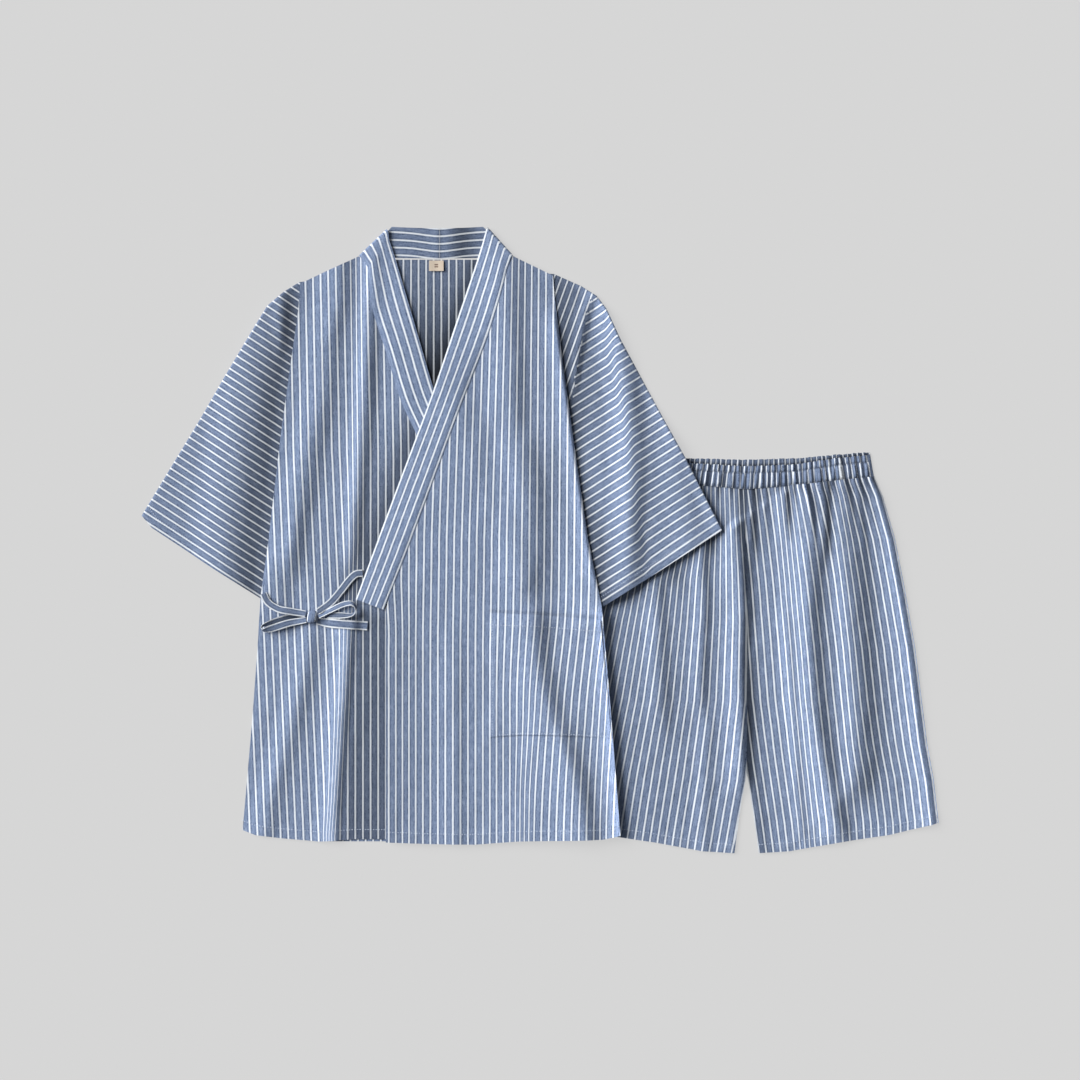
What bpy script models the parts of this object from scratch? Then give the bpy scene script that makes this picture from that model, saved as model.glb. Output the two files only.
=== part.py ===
"""A jinbei set laid flat: a wrap jacket tied at its side, lying partly over a pair of shorts.

Sizes are in millimetres and are turned into metres where a mesh is made. X runs to the right of the
layout, Y towards the jacket's collar and Z up from the surface that the set lies on. Every panel is a
wall of cloth between four edges; its height over the surface is a sum of the layers below it and of
the ridges that the cloth is laid in, so no panel passes through the one under it.
"""

import math
from collections import namedtuple

import bmesh
import bpy
from mathutils import Vector
from mathutils.bvhtree import BVHTree

MM = 0.001
WALL = 1.2  # a panel's cloth
GAP = 0.45  # clear between two layers
SEAM = 0.35  # clear between two pieces that meet edge to edge
LAYER = WALL + GAP
OVERLAP_SLACK = 1.0  # more room where the upper front lies over a collar
SLEEVE_SLACK = 0.4  # and where a sleeve lies on the back
TRIM_WALL = 1.0  # ties and label

CLOTH = (0.20, 0.26, 0.40, 1.0)
LABEL_CLOTH = (0.72, 0.62, 0.51, 1.0)
CLOTH_ROUGHNESS = 0.85

# Jacket
CENTRE_BACK = -124
NECK_SEAM_Y = 346
SHOULDER_LEFT = [(-296, 316), (-224, 350)]
SHOULDER_RIGHT = [(-33, 350), (16, 326)]
SIDE_LEFT = [
    (-296, 316), (-298, 284), (-308, 214), (-320, 127), (-335, -2), (-344, -66), (-355, -220), (-367, -358),
]
SIDE_RIGHT = [(16, 326), (18, 299), (28, 217), (42, 117), (59, 1), (76, -82), (86, -198), (99, -364)]
HEM_LEFT = [(-367, -358), (-351, -364), (-320, -368), (-273, -372), (-225, -369)]
HEM_RIGHT = [(-190, -372), (-136, -374), (-80, -375), (-27, -371), (77, -369), (99, -364)]
UNDERARM_Y = -84
TUCK = 16  # how far a sleeve runs in under the front panel's armhole edge
OVERLAP_X = -190  # free edge of the upper front, below its collar

# The set's surface under the jacket rises where the shorts lie below it
SHORTS_STACK = 8.6
SHORTS_HIDDEN_EDGE = [(96, 77), (16, -345)]
SHORTS_TOP_Y = 104
LIFT_RUN_OUT = 80
LIFT_RUN_IN = 16

# Shorts
SHORTS_CENTRE = 254.5
SHORTS_WAIST = [(330, 68), (375, 73), (413, 77)]
SHORTS_SIDE = [
    (413, 77), (423, 54), (438, 2), (450, -59), (463, -133), (478, -252), (486, -296), (492, -349),
]
SHORTS_HEM = [(270, -386.5), (308, -384), (369, -373), (431, -364), (492, -349)]
SHORTS_INNER = [(SHORTS_CENTRE, 62), (SHORTS_CENTRE, -191), (255, -286), (262, -328), (270, -386.5)]
BAND_LOW = [(96, 78), (134, 74), (179, 69), (254.5, 62.7), (330, 69), (375, 74), (412, 78)]
BAND_TOP_FRONT = [(104, 102), (184, 95), (254, 91), (311, 93), (375, 102), (407, 105)]
BAND_TOP_BACK = [(104, 106), (182, 101), (254, 99), (319, 101), (398, 108), (407, 108)]
BAND_PUFF = 1.1
BAND_PITCH = 21
BAND_FOLLOWS = 0.3  # share of the legs' folds that carries on over the band

Ridge = namedtuple("Ridge", "x_top y_top x_low y_low left right height")
UNDER_FRONT_RIDGES = [
    Ridge(-276, 360, -322, -75, 26, 32, 4.6),
    Ridge(-224, 330, -244, -40, 26, 18, 4.2),
    Ridge(-253, -100, -253, -470, 30, 15, 5.0),
    Ridge(-318, -100, -357, -430, 24, 34, 3.2),
]
OVER_FRONT_RIDGES = [
    Ridge(-46, 330, -44, -70, 34, 30, 3.6),
    Ridge(22, 330, 62, -70, 24, 22, 3.4),
    Ridge(-28, -40, -30, -470, 44, 34, 3.8),
    Ridge(66, -40, 86, -470, 30, 26, 3.2),
    Ridge(-140, -60, -140, -470, 34, 40, 1.8),
]
LEFT_SLEEVE_RIDGES = [Ridge(-340, 330, -452, -110, 60, 58, 4.4)]
RIGHT_SLEEVE_RIDGES = [
    Ridge(60, 340, 44, 130, 10, 16, 2.4),
    Ridge(86, 320, 104, -60, 26, 32, 4.4),
    Ridge(128, 230, 196, -50, 30, 26, 2.6),
]
SHORTS_RIDGES = [
    Ridge(180, 90, 180, -170, 18, 18, 2.8),
    Ridge(226, 110, 232, -470, 22, 16, 3.8),
    Ridge(288, 120, 322, -470, 20, 30, 4.2),
    Ridge(331, 120, 334, -30, 15, 15, 2.8),
    Ridge(366, 120, 380, -330, 19, 18, 4.0),
    Ridge(398, 120, 436, -260, 14, 18, 3.6),
    Ridge(128, -20, 160, -260, 22, 24, 3.0),
    Ridge(440, -120, 452, -470, 26, 24, 2.8),
]
RIDGE_FADE = 55

# Collar: a band of one width, its free edge and the edge sewn to the body, from the turn at the
# shoulder down to its end
CollarRow = namedtuple("CollarRow", "free_x free_y seam_x seam_y")
COLLAR_FOLD_RIGHT = CollarRow(-187.5, 381.5, -221.5, 349)
COLLAR_RIGHT_ROWS = [
    CollarRow(-186, 370, -212, 336),
    CollarRow(-177, 342, -210, 312),
    CollarRow(-164, 298, -206, 282),
    CollarRow(-149, 247, -191, 235),
    CollarRow(-131, 186, -172, 173),
    CollarRow(-112, 136, -149, 122),
    CollarRow(-75, 42, -112, 28),
    CollarRow(-36, -60, -71, -73),
]
COLLAR_FOLD_LEFT = CollarRow(-66.5, 383.5, -35.5, 349)
COLLAR_LEFT_ROWS = [
    CollarRow(-71, 366, -41, 334),
    CollarRow(-82, 332, -49, 302),
    CollarRow(-104, 267, -66, 248),
    CollarRow(-131, 186, -95, 173),
    CollarRow(-155, 121, -119, 108),
    CollarRow(-179, 57, -143, 43),
    CollarRow(-203, -8, -167, -21),
    CollarRow(-227, -73, -193, -86),
]
COLLAR_TOP_Y = 385
COLLAR_TOP_RISE = 2

# Pocket on the upper front
POCKET_TOP = [(-61, -90), (-6, -92), (74, -98)]
POCKET_LOW = [(-61, -243), (-20, -240), (10, -240), (88, -244)]

# Sleeves, laid flat: top fold, cuff and the edge tucked under the front
LEFT_SLEEVE_FOLD = [
    (-280, 320), (-297, 318), (-316, 306), (-336, 289), (-352, 263), (-391, 198), (-420, 148), (-491.5, 30),
]
LEFT_SLEEVE_CUFF = [(-491.5, 30), (-479, 15), (-411, -30), (-329, -82)]
LEFT_SLEEVE_TUCK = [(-280, 320), (-282, 284), (-292, 214), (-304, 127), (-319, -2), (-326, -58)]
LEFT_SLEEVE_UNDER = [(-326, -58), (-329, -82)]
RIGHT_SLEEVE_FOLD = [
    (0, 329), (17, 328), (51, 313), (70, 301), (82, 285), (99, 248), (153, 148), (179, 101), (224, 12),
]
RIGHT_SLEEVE_CUFF = [(224, 12), (151, -36), (60, -93)]
RIGHT_SLEEVE_TUCK = [(0, 329), (2, 299), (12, 217), (26, 117), (43, 1), (56, -66)]
RIGHT_SLEEVE_UNDER = [(56, -66), (60, -93)]

# Ties and bow: middle of the ribbon, height over the front, and its lean from lying flat
TieRow = namedtuple("TieRow", "x y over lean width")
SIDE_TIE = [
    TieRow(-341, -66, 1.2, 10, 9), TieRow(-335, -77, 2.2, 20, 9), TieRow(-322, -85, 4.2, 20, 9),
    TieRow(-307, -88, 6.2, 10, 9), TieRow(-289, -91, 7.2, 0, 8),
]
FRONT_TIE = [
    TieRow(-219, -41, 1.0, 0, 9), TieRow(-227, -42, 1.6, 0, 9), TieRow(-235, -49, 2.2, 0, 9),
    TieRow(-246, -63, 3.0, 0, 9), TieRow(-258, -77, 4.4, 0, 9), TieRow(-273, -88, 7.6, 0, 8),
]
BOW_TAIL = [
    TieRow(-274.5, -100, 1.6, 0, 8), TieRow(-262, -102, 1.0, 0, 11), TieRow(-240, -104, 1.0, 0, 11),
    TieRow(-213, -106, 1.0, 0, 11),
]
BOW_LOOP_LEFT = [
    TieRow(-288.5, -99, 2.6, 0, 7.5), TieRow(-310, -103, 1.6, 0, 9), TieRow(-331, -110, 1.2, 25, 9),
    TieRow(-342, -111, 3.2, 70, 8), TieRow(-341, -104.5, 4.4, 110, 7), TieRow(-330, -98, 4.6, 112, 6.5),
    TieRow(-318, -95, 4.2, 112, 5.5),
]
BOW_LOOP_RIGHT = [
    TieRow(-273, -95, 5.6, 75, 5), TieRow(-257, -86, 5.4, 75, 7), TieRow(-243, -78.5, 5.2, 70, 8.5),
    TieRow(-232, -80, 5.0, 62, 9), TieRow(-228.5, -87, 4.8, 60, 9), TieRow(-234, -94.5, 4.8, 66, 8.5),
    TieRow(-250, -96.5, 4.8, 75, 7),
]
KNOT_MIDDLE = (-281.2, -94.5)
KNOT_SIZE = (11.0, 16.0, 8.5)
KNOT_OVER = 1.4

LABEL_WIDTH = 18
LABEL_DEPTH = 13
LABEL_X = -128


def smooth(value, start, end):
    """0 before start, 1 after end, and an even S-curve between them."""
    share = min(max((value - start) / (end - start), 0), 1)
    return share * share * (3 - 2 * share)


def x_on(edge, y):
    """The x of an edge, listed from top to bottom, at height y."""
    for (x_a, y_a), (x_b, y_b) in zip(edge, edge[1:]):
        if y >= y_b:
            share = max((y_a - y) / (y_a - y_b), 0)
            return x_a + (x_b - x_a) * min(share, 1)
    return edge[-1][0]


def ridges_at(ridges, x, y):
    """Height of the folds that the cloth is laid in, at one place."""
    total = 0
    for ridge in ridges:
        share = (ridge.y_top - y) / (ridge.y_top - ridge.y_low)
        off = x - (ridge.x_top + (ridge.x_low - ridge.x_top) * share)
        reach = ridge.left if off < 0 else ridge.right
        if abs(off) < reach:
            crest = 0.5 + 0.5 * math.cos(math.pi * off / reach)
            ends = smooth(y, ridge.y_low, ridge.y_low + RIDGE_FADE)
            ends *= 1 - smooth(y, ridge.y_top - RIDGE_FADE, ridge.y_top)
            total += ridge.height * crest * ends
    return total


def lift(x, y):
    """How far the shorts hold the jacket up."""
    inside = x - x_on(SHORTS_HIDDEN_EDGE, y) - (SHORTS_HIDDEN_EDGE[-1][1] - min(y, -345)) * 0.2
    across = smooth(inside, -LIFT_RUN_OUT, LIFT_RUN_IN)
    return SHORTS_STACK * across * smooth(SHORTS_TOP_Y - y, -LIFT_RUN_OUT, LIFT_RUN_IN)


def outside_body(x, y):
    """Distance outside the body's nearer side edge, less than 0 on the body."""
    if x < CENTRE_BACK:
        return x_on(SIDE_LEFT, y) - x
    return x - x_on(SIDE_RIGHT, y)


def sleeve_tuck_raise(x, y):
    """The fronts lie over both layers of the sleeve near the armhole."""
    near = 1 - smooth(-outside_body(x, y), TUCK + 3, TUCK + 32)
    return (2 * LAYER + SLEEVE_SLACK) * near * smooth(y, UNDERARM_Y - 40, UNDERARM_Y - 14)


def overlap_raise(x, y):
    """The upper front lies over the lower front and its collar."""
    if y > 186:
        hidden_edge = -131
    elif y > UNDERARM_Y:
        hidden_edge = -131 + (186 - y) * 100 / 270
    else:
        hidden_edge = -31
    under = 1 - smooth(x, hidden_edge + 14, hidden_edge + 54)
    return (2 * LAYER + OVERLAP_SLACK) * under * (1 - smooth(y, 190, 270))


def over_front_cover(x, y):
    """1 where the lower front is hidden by the upper one, 0 a little before it."""
    edge = -131 - (186 - max(y, -80)) * 0.37 if y > -80 else OVERLAP_X
    return smooth(x, edge - 26, edge - 8)


def back_height(x, y):
    return lift(x, y)


def sleeve_back_height(x, y):
    return lift(x, y) + (LAYER + SLEEVE_SLACK) * (1 - smooth(outside_body(x, y), 14, 46))


def sleeve_front_height(ridges, x, y):
    clear = smooth(outside_body(x, y), 4, 26)
    return sleeve_back_height(x, y) + LAYER + ridges_at(ridges, x, y) * clear


def under_front_height(x, y):
    folds = ridges_at(UNDER_FRONT_RIDGES, x, y) * (1 - over_front_cover(x, y))
    return lift(x, y) + LAYER + sleeve_tuck_raise(x, y) + folds


def over_front_height(x, y):
    folds = ridges_at(OVER_FRONT_RIDGES, x, y)
    return lift(x, y) + LAYER + sleeve_tuck_raise(x, y) + overlap_raise(x, y) + folds


def shorts_front_height(x, y):
    """The folds die out where the jacket lies on the shorts."""
    edge = max(x_on(SIDE_RIGHT, y), 96)
    if y > UNDERARM_Y - 10:
        edge = 70 + (y - UNDERARM_Y) * 1.55
    free = smooth(x, edge, edge + 26)
    side = 1 - smooth(x, x_on(SHORTS_SIDE, y) - 16, x_on(SHORTS_SIDE, y))
    return LAYER + ridges_at(SHORTS_RIDGES, x, y) * free * side


def top_of(thing, beyond):
    """Height of a finished panel's upper face, and of another surface where the panel has ended."""
    tree = BVHTree.FromObject(thing, bpy.context.evaluated_depsgraph_get())

    def height(x, y):
        hit = tree.ray_cast(Vector((x * MM, y * MM, 1)), Vector((0, 0, -1)))[0]
        return beyond(x, y) + WALL if hit is None else hit.z / MM

    return height


def highest_near(height, x, y, reach):
    """The highest that a layer stands within reach of a place, for a piece that lies on it."""
    steps = (-reach, -reach / 2, 0, reach / 2, reach)
    return max(height(x + dx, y + dy) for dx in steps for dy in steps)


def wall_at(height, x, y, wall):
    """A wall's upright thickness, which grows on a slope so that the cloth keeps its own."""
    step = 2.0
    slope_x = (height(x + step, y) - height(x - step, y)) / (2 * step)
    slope_y = (height(x, y + step) - height(x, y - step)) / (2 * step)
    return wall * math.sqrt(1 + slope_x * slope_x + slope_y * slope_y)


def lengths(points):
    """Share of the whole length at each point of an edge."""
    runs = [0]
    for start, end in zip(points, points[1:]):
        runs.append(runs[-1] + math.dist(start, end))
    return [run / runs[-1] for run in runs]


def along(points, share):
    """The point of an edge at a share of its length."""
    marks = lengths(points)
    for i in range(len(points) - 1):
        if share <= marks[i + 1] or i == len(points) - 2:
            part = (share - marks[i]) / (marks[i + 1] - marks[i])
            return Vector(points[i]).lerp(Vector(points[i + 1]), part)


def shares(count, *edges):
    """Even shares from 0 to 1, the nearest of them moved onto each corner of the edges."""
    marks = [i / count for i in range(count + 1)]
    for edge in edges:
        for corner in lengths(edge)[1:-1]:
            nearest = min(range(1, count), key=lambda i: abs(marks[i] - corner))
            marks[nearest] = corner
    return sorted(marks)


Patch = namedtuple("Patch", "top low left right")


def place(patch, across, down):
    """A point of a patch blended from its four edges."""
    top = along(patch.top, across)
    low = along(patch.low, across)
    left = along(patch.left, down)
    right = along(patch.right, down)
    sides = left.lerp(right, across)
    ends = top.lerp(low, down)
    corners = Vector(patch.top[0]).lerp(Vector(patch.top[-1]), across).lerp(
        Vector(patch.low[0]).lerp(Vector(patch.low[-1]), across), down
    )
    return sides + ends - corners


def cloth_material(name, colour):
    material = bpy.data.materials.new(name)
    material.use_nodes = True
    shader = material.node_tree.nodes["Principled BSDF"]
    shader.inputs["Base Color"].default_value = colour
    shader.inputs["Roughness"].default_value = CLOTH_ROUGHNESS
    shader.inputs["Metallic"].default_value = 0.0
    return material


def add_object(name, points, faces, colour=CLOTH):
    """One closed body from points in millimetres, its faces turned outwards."""
    mesh = bpy.data.meshes.new(name)
    mesh.from_pydata([Vector(point) * MM for point in points], [], faces)
    body = bmesh.new()
    body.from_mesh(mesh)
    bmesh.ops.recalc_face_normals(body, faces=body.faces)
    if body.calc_volume(signed=True) < 0:
        bmesh.ops.reverse_faces(body, faces=body.faces)
    body.to_mesh(mesh)
    body.free()
    mesh.materials.append(cloth_material(name, colour))
    mesh.shade_smooth()
    mesh.set_sharp_from_angle(angle=math.radians(40))
    thing = bpy.data.objects.new(name, mesh)
    bpy.context.scene.collection.objects.link(thing)
    return thing


def grid_faces(rows, columns, start, point):
    """Quads of a rows x columns grid, its points numbered by point(row, column)."""
    return [
        (
            start + point(row, column), start + point(row, column + 1),
            start + point(row + 1, column + 1), start + point(row + 1, column),
        )
        for row in range(rows)
        for column in range(columns)
    ]


def double_sided(name, lower, upper, colour=CLOTH):
    """A wall between two grids of the same size: both faces, and a rim round all four edges."""
    rows = len(lower) - 1
    columns = len(lower[0]) - 1
    width = columns + 1
    points = [point for row in lower for point in row] + [point for row in upper for point in row]
    half = len(points) // 2

    def number(row, column):
        return row * width + column

    faces = grid_faces(rows, columns, 0, number)
    faces += [face[::-1] for face in grid_faces(rows, columns, half, number)]
    rim = [number(0, column) for column in range(columns)]
    rim += [number(row, columns) for row in range(rows)]
    rim += [number(rows, column) for column in range(columns, 0, -1)]
    rim += [number(row, 0) for row in range(rows, 0, -1)]
    for here, there in zip(rim, rim[1:] + rim[:1]):
        faces.append((there, here, half + here, half + there))
    return add_object(name, points, faces, colour)


def panel(name, patch, height, columns, rows, wall=WALL, colour=CLOTH):
    """A sheet of cloth between four edges, lying at a height that changes over it."""
    lower = []
    upper = []
    for down in shares(rows, patch.left, patch.right):
        flat = [place(patch, across, down) for across in shares(columns, patch.top, patch.low)]
        lower.append([(x, y, height(x, y)) for x, y in flat])
        upper.append([(x, y, height(x, y) + wall_at(height, x, y, wall)) for x, y in flat])
    return double_sided(name, lower, upper, colour)


def flat_tube(name, front, back, front_height, back_height_at, columns, rows):
    """A tube of cloth pressed flat: two walls joined along left and right, open at top and foot."""
    outer = []
    inner = []
    across_marks = shares(columns, front.top, front.low)
    for down in shares(rows, front.left, front.right):
        outer_ring = []
        inner_ring = []
        for patch, height, order, face in (
            (front, front_height, across_marks, 1),
            (back, back_height_at, across_marks[::-1], -1),
        ):
            start = place(patch, 0, down)
            width = (place(patch, 1, down) - start).length
            for across in order:
                x, y = place(patch, across, down)
                inset = min(max(across, WALL / width), 1 - WALL / width)
                inner_x, inner_y = place(patch, inset, down)
                wall = wall_at(height, x, y, WALL)
                upright = wall if face > 0 else 0
                outer_ring.append((x, y, height(x, y) + upright))
                inner_ring.append((inner_x, inner_y, height(inner_x, inner_y) + (0 if face > 0 else wall)))
        outer.append(outer_ring)
        inner.append(inner_ring)
    around = len(outer[0])
    points = [point for ring in outer for point in ring] + [point for ring in inner for point in ring]
    half = len(points) // 2
    faces = []
    for i in range(around):
        j = (i + 1) % around
        for row in range(len(outer) - 1):
            here = row * around
            there = here + around
            faces.append((here + i, here + j, there + j, there + i))
            faces.append((half + here + j, half + here + i, half + there + i, half + there + j))
        last = (len(outer) - 1) * around
        faces.append((j, i, half + i, half + j))
        faces.append((last + i, last + j, half + last + j, half + last + i))
    return add_object(name, points, faces)


def ribbon(name, edges, wall, colour=CLOTH, columns=1):
    """A strip of cloth through pairs of edge points, half its wall to either side of them."""
    lower = []
    upper = []
    for i, (one, other) in enumerate(edges):
        before = edges[max(i - 1, 0)]
        after = edges[min(i + 1, len(edges) - 1)]
        forward = (Vector(after[0]) + Vector(after[1])) - (Vector(before[0]) + Vector(before[1]))
        side = Vector(other) - Vector(one)
        normal = forward.cross(side).normalized() * (wall / 2)
        row = [Vector(one).lerp(Vector(other), column / columns) for column in range(columns + 1)]
        lower.append([point - normal for point in row])
        upper.append([point + normal for point in row])
    return double_sided(name, lower, upper, colour)


def eased(rows, parts):
    """Rows of a table with more rows between them, on a smooth curve through all of them."""
    result = []
    for i in range(len(rows) - 1):
        p0 = rows[max(i - 1, 0)]
        p1 = rows[i]
        p2 = rows[i + 1]
        p3 = rows[min(i + 2, len(rows) - 1)]
        for part in range(parts):
            t = part / parts
            result.append(type(p1)(*(
                0.5 * (2 * b + (c - a) * t + (2 * a - 5 * b + 4 * c - d) * t * t
                       + (3 * b - a - 3 * c + d) * t ** 3)
                for a, b, c, d in zip(p0, p1, p2, p3)
            )))
    return result + [rows[-1]]


def tie(name, rows, surface, parts=3):
    """A narrow ribbon that lies over a surface, leaning as its table says."""
    rows = eased(rows, parts)
    edges = []
    for i, row in enumerate(rows):
        before = rows[max(i - 1, 0)]
        after = rows[min(i + 1, len(rows) - 1)]
        forward = Vector((after.x - before.x, after.y - before.y, 0)).normalized()
        lean = math.radians(row.lean)
        side = Vector((forward.y * math.cos(lean), -forward.x * math.cos(lean), math.sin(lean)))
        floor = highest_near(surface, row.x, row.y, row.width / 2)
        rise = abs(math.sin(lean)) * row.width / 2
        middle = Vector((row.x, row.y, floor + row.over + rise))
        edges.append((middle - side * row.width / 2, middle + side * row.width / 2))
    return ribbon(name, edges, TRIM_WALL)


def knot(name, surface):
    """The bow's knot, a small block of wound ribbon with rounded edges."""
    x, y = KNOT_MIDDLE
    floor = highest_near(surface, x, y, KNOT_SIZE[0] / 2) + KNOT_OVER
    mesh = bpy.data.meshes.new(name)
    body = bmesh.new()
    bmesh.ops.create_cube(body, size=1)
    for vertex in body.verts:
        vertex.co = Vector((
            x + vertex.co.x * KNOT_SIZE[0], y + vertex.co.y * KNOT_SIZE[1],
            floor + (vertex.co.z + 0.5) * KNOT_SIZE[2],
        )) * MM
    bmesh.ops.bevel(
        body, geom=body.edges, offset=KNOT_SIZE[0] * 0.3 * MM, segments=3, affect="EDGES", profile=0.5
    )
    body.to_mesh(mesh)
    body.free()
    mesh.materials.append(cloth_material(name, CLOTH))
    mesh.shade_smooth()
    thing = bpy.data.objects.new(name, mesh)
    bpy.context.scene.collection.objects.link(thing)


def collar(name, fold, rows, surface):
    """Half of the collar: from the centre back seam, over at the shoulder and down the front."""
    middle = CENTRE_BACK + math.copysign(SEAM / 2, fold.free_x - CENTRE_BACK)
    back_z = WALL / 2
    neck = NECK_SEAM_Y + 1.5
    edges = []
    for share in (0, 0.3, 0.6, 0.88):
        free_x = middle + (fold.free_x - middle) * share
        seam_x = middle + (fold.seam_x - middle) * share
        edges.append((
            (free_x, COLLAR_TOP_Y + COLLAR_TOP_RISE * share, back_z),
            (seam_x, neck + (fold.seam_y - neck) * share, back_z),
        ))
    front = []
    for row in eased(rows, 2):
        reach = 11
        z_free = highest_near(surface, row.free_x, row.free_y, reach) + GAP + WALL * 0.6
        z_seam = highest_near(surface, row.seam_x, row.seam_y, reach) + GAP + WALL * 0.6
        front.append(((row.free_x, row.free_y, z_free), (row.seam_x, row.seam_y, z_seam)))
    top_z = max(front[0][0][2], front[0][1][2])
    radius = (top_z - back_z) / 2
    outward = Vector((fold.free_y - fold.seam_y, abs(fold.seam_x - fold.free_x), 0)).normalized()
    if fold.free_x < CENTRE_BACK:
        outward.x = -abs(outward.x)
    for turn in (-90, -45, 0, 45, 90):
        angle = math.radians(turn)
        out = outward * radius * math.cos(angle)
        z = back_z + radius * (1 + math.sin(angle))
        edges.append((
            (fold.free_x + out.x, fold.free_y + out.y, z),
            (fold.seam_x + out.x, fold.seam_y + out.y, z),
        ))
    return ribbon(name, edges + front, WALL, columns=3)


def mirrored(points):
    """An edge of the shorts turned over their centre line."""
    return [(2 * SHORTS_CENTRE - x, y) for x, y in points]


def shifted(points, dx, dy=0):
    return [(x + dx, y + dy) for x, y in points]


def shorts_legs():
    """The outline of each leg, left and right of the centre seam."""
    half = SEAM / 2
    waist = [(SHORTS_CENTRE, 62)] + SHORTS_WAIST
    right = Patch(
        shifted(waist, half), shifted(SHORTS_HEM, half), shifted(SHORTS_INNER, half), SHORTS_SIDE,
    )
    left = Patch(
        mirrored(right.top)[::-1], mirrored(right.low)[::-1], mirrored(right.right), mirrored(right.left),
    )
    return {"left": right, "right": left}


def waistband_front_height(x, y):
    """The elastic draws the band into small even gathers, pressed out under the jacket."""
    free = smooth(x, 178, 200)
    puff = BAND_PUFF * (1 - math.cos(2 * math.pi * x / BAND_PITCH))
    return LAYER + (puff + BAND_FOLLOWS * ridges_at(SHORTS_RIDGES, x, y)) * free


def floor_height(x, y):
    return 0.0


def make_shorts():
    """Two legs with a front and a back each, and a waistband ring."""
    for side, patch in shorts_legs().items():
        panel(f"shorts_back_{side}", patch, floor_height, 4, 7)
        panel(f"shorts_front_{side}", patch, shorts_front_height, 15, 10)
    bands = [
        Patch(top, BAND_LOW, [top[0], BAND_LOW[0]], [top[-1], BAND_LOW[-1]])
        for top in (BAND_TOP_FRONT, BAND_TOP_BACK)
    ]
    flat_tube("waistband", *bands, waistband_front_height, floor_height, 30, 2)


def make_jacket():
    """Back, two fronts that cross over, two sleeves, collar, pocket and neck label."""
    back_top = [(-296, 316), (-224, 349), (-176, NECK_SEAM_Y), (-76, NECK_SEAM_Y), (-33, 349), (16, 326)]
    back_low = HEM_LEFT[:4] + [(-190, -371), (-136, -374), (-80, -375), (-27, -371), (77, -369), (99, -364)]
    panel("jacket_back", Patch(back_top, back_low, SIDE_LEFT, SIDE_RIGHT), back_height, 16, 12)

    under_inner = [(-212, 344), (-198, 290), (-163, 176), (-140, 124), (-104, 30), (-63, -75), (-63, -370)]
    front_right = panel(
        "jacket_front_right",
        Patch(SHOULDER_LEFT + [(-212, 344)], HEM_LEFT + [(-63, -370)], SIDE_LEFT, under_inner),
        under_front_height, 20, 14,
    )
    over_inner = [
        (-44, 344), (-58, 306), (-76, 252), (-105, 177), (-129, 112), (-153, 47), (-176, -17),
        (OVERLAP_X, -88), (OVERLAP_X, -373),
    ]
    front_left = panel(
        "jacket_front_left",
        Patch([(-44, 344)] + SHOULDER_RIGHT, HEM_RIGHT, over_inner, SIDE_RIGHT),
        over_front_height, 22, 14,
    )
    for side, fold, cuff, tuck, under, ridges in (
        ("right", LEFT_SLEEVE_FOLD, LEFT_SLEEVE_CUFF, LEFT_SLEEVE_TUCK, LEFT_SLEEVE_UNDER,
         LEFT_SLEEVE_RIDGES),
        ("left", RIGHT_SLEEVE_FOLD, RIGHT_SLEEVE_CUFF, RIGHT_SLEEVE_TUCK, RIGHT_SLEEVE_UNDER,
         RIGHT_SLEEVE_RIDGES),
    ):
        patch = Patch(tuck, cuff, fold, under)
        flat_tube(
            f"sleeve_{side}", patch, patch,
            lambda x, y, ridges=ridges: sleeve_front_height(ridges, x, y),
            sleeve_back_height, 11, 9,
        )
    on_right = top_of(front_right, under_front_height)
    on_left = top_of(front_left, over_front_height)
    collar("collar_right", COLLAR_FOLD_RIGHT, COLLAR_RIGHT_ROWS, on_right)
    collar("collar_left", COLLAR_FOLD_LEFT, COLLAR_LEFT_ROWS, on_left)

    def pocket_height(x, y):
        return highest_near(on_left, x, y, 11) + GAP

    panel(
        "pocket",
        Patch(POCKET_TOP, POCKET_LOW, [POCKET_TOP[0], POCKET_LOW[0]], [POCKET_TOP[-1], POCKET_LOW[-1]]),
        pocket_height, 11, 7,
    )

    def label_height(x, y):
        return back_height(x, y) + LAYER

    left = LABEL_X - LABEL_WIDTH / 2
    right = LABEL_X + LABEL_WIDTH / 2
    top = NECK_SEAM_Y - 1
    low = top - LABEL_DEPTH
    panel(
        "label",
        Patch([(left, top), (right, top)], [(left, low), (right, low)],
              [(left, top), (left, low)], [(right, top), (right, low)]),
        label_height, 1, 1, TRIM_WALL, LABEL_CLOTH,
    )
    return on_right


def make_ties(surface):
    """Two ties, from the side seam and the front's edge, and the bow that they make."""
    tie("tie_side", SIDE_TIE, surface)
    tie("tie_front", FRONT_TIE, surface)
    tie("bow_tail", BOW_TAIL, surface)
    tie("bow_loop_left", BOW_LOOP_LEFT, surface)
    tie("bow_loop_right", BOW_LOOP_RIGHT, surface)
    knot("bow_knot", surface)


def clear_scene():
    for thing in list(bpy.data.objects):
        bpy.data.objects.remove(thing)


clear_scene()
make_shorts()
make_ties(make_jacket())
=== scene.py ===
"""The looks of a jinbei set that lies flat: a wrap jacket tied at its side, partly over its shorts.

Sizes are in millimetres and become metres where a mesh is made. X runs to the right of the layout, Y
towards the jacket's collar and Z up from the surface. Every panel is a thin shell on its solid's form: its
height over the surface is a sum of the layers below it, the folds it is laid in and its own rumples.
"""

import logging
import math
from collections.abc import Callable, Sequence
from dataclasses import dataclass, field
from enum import Enum

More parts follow.
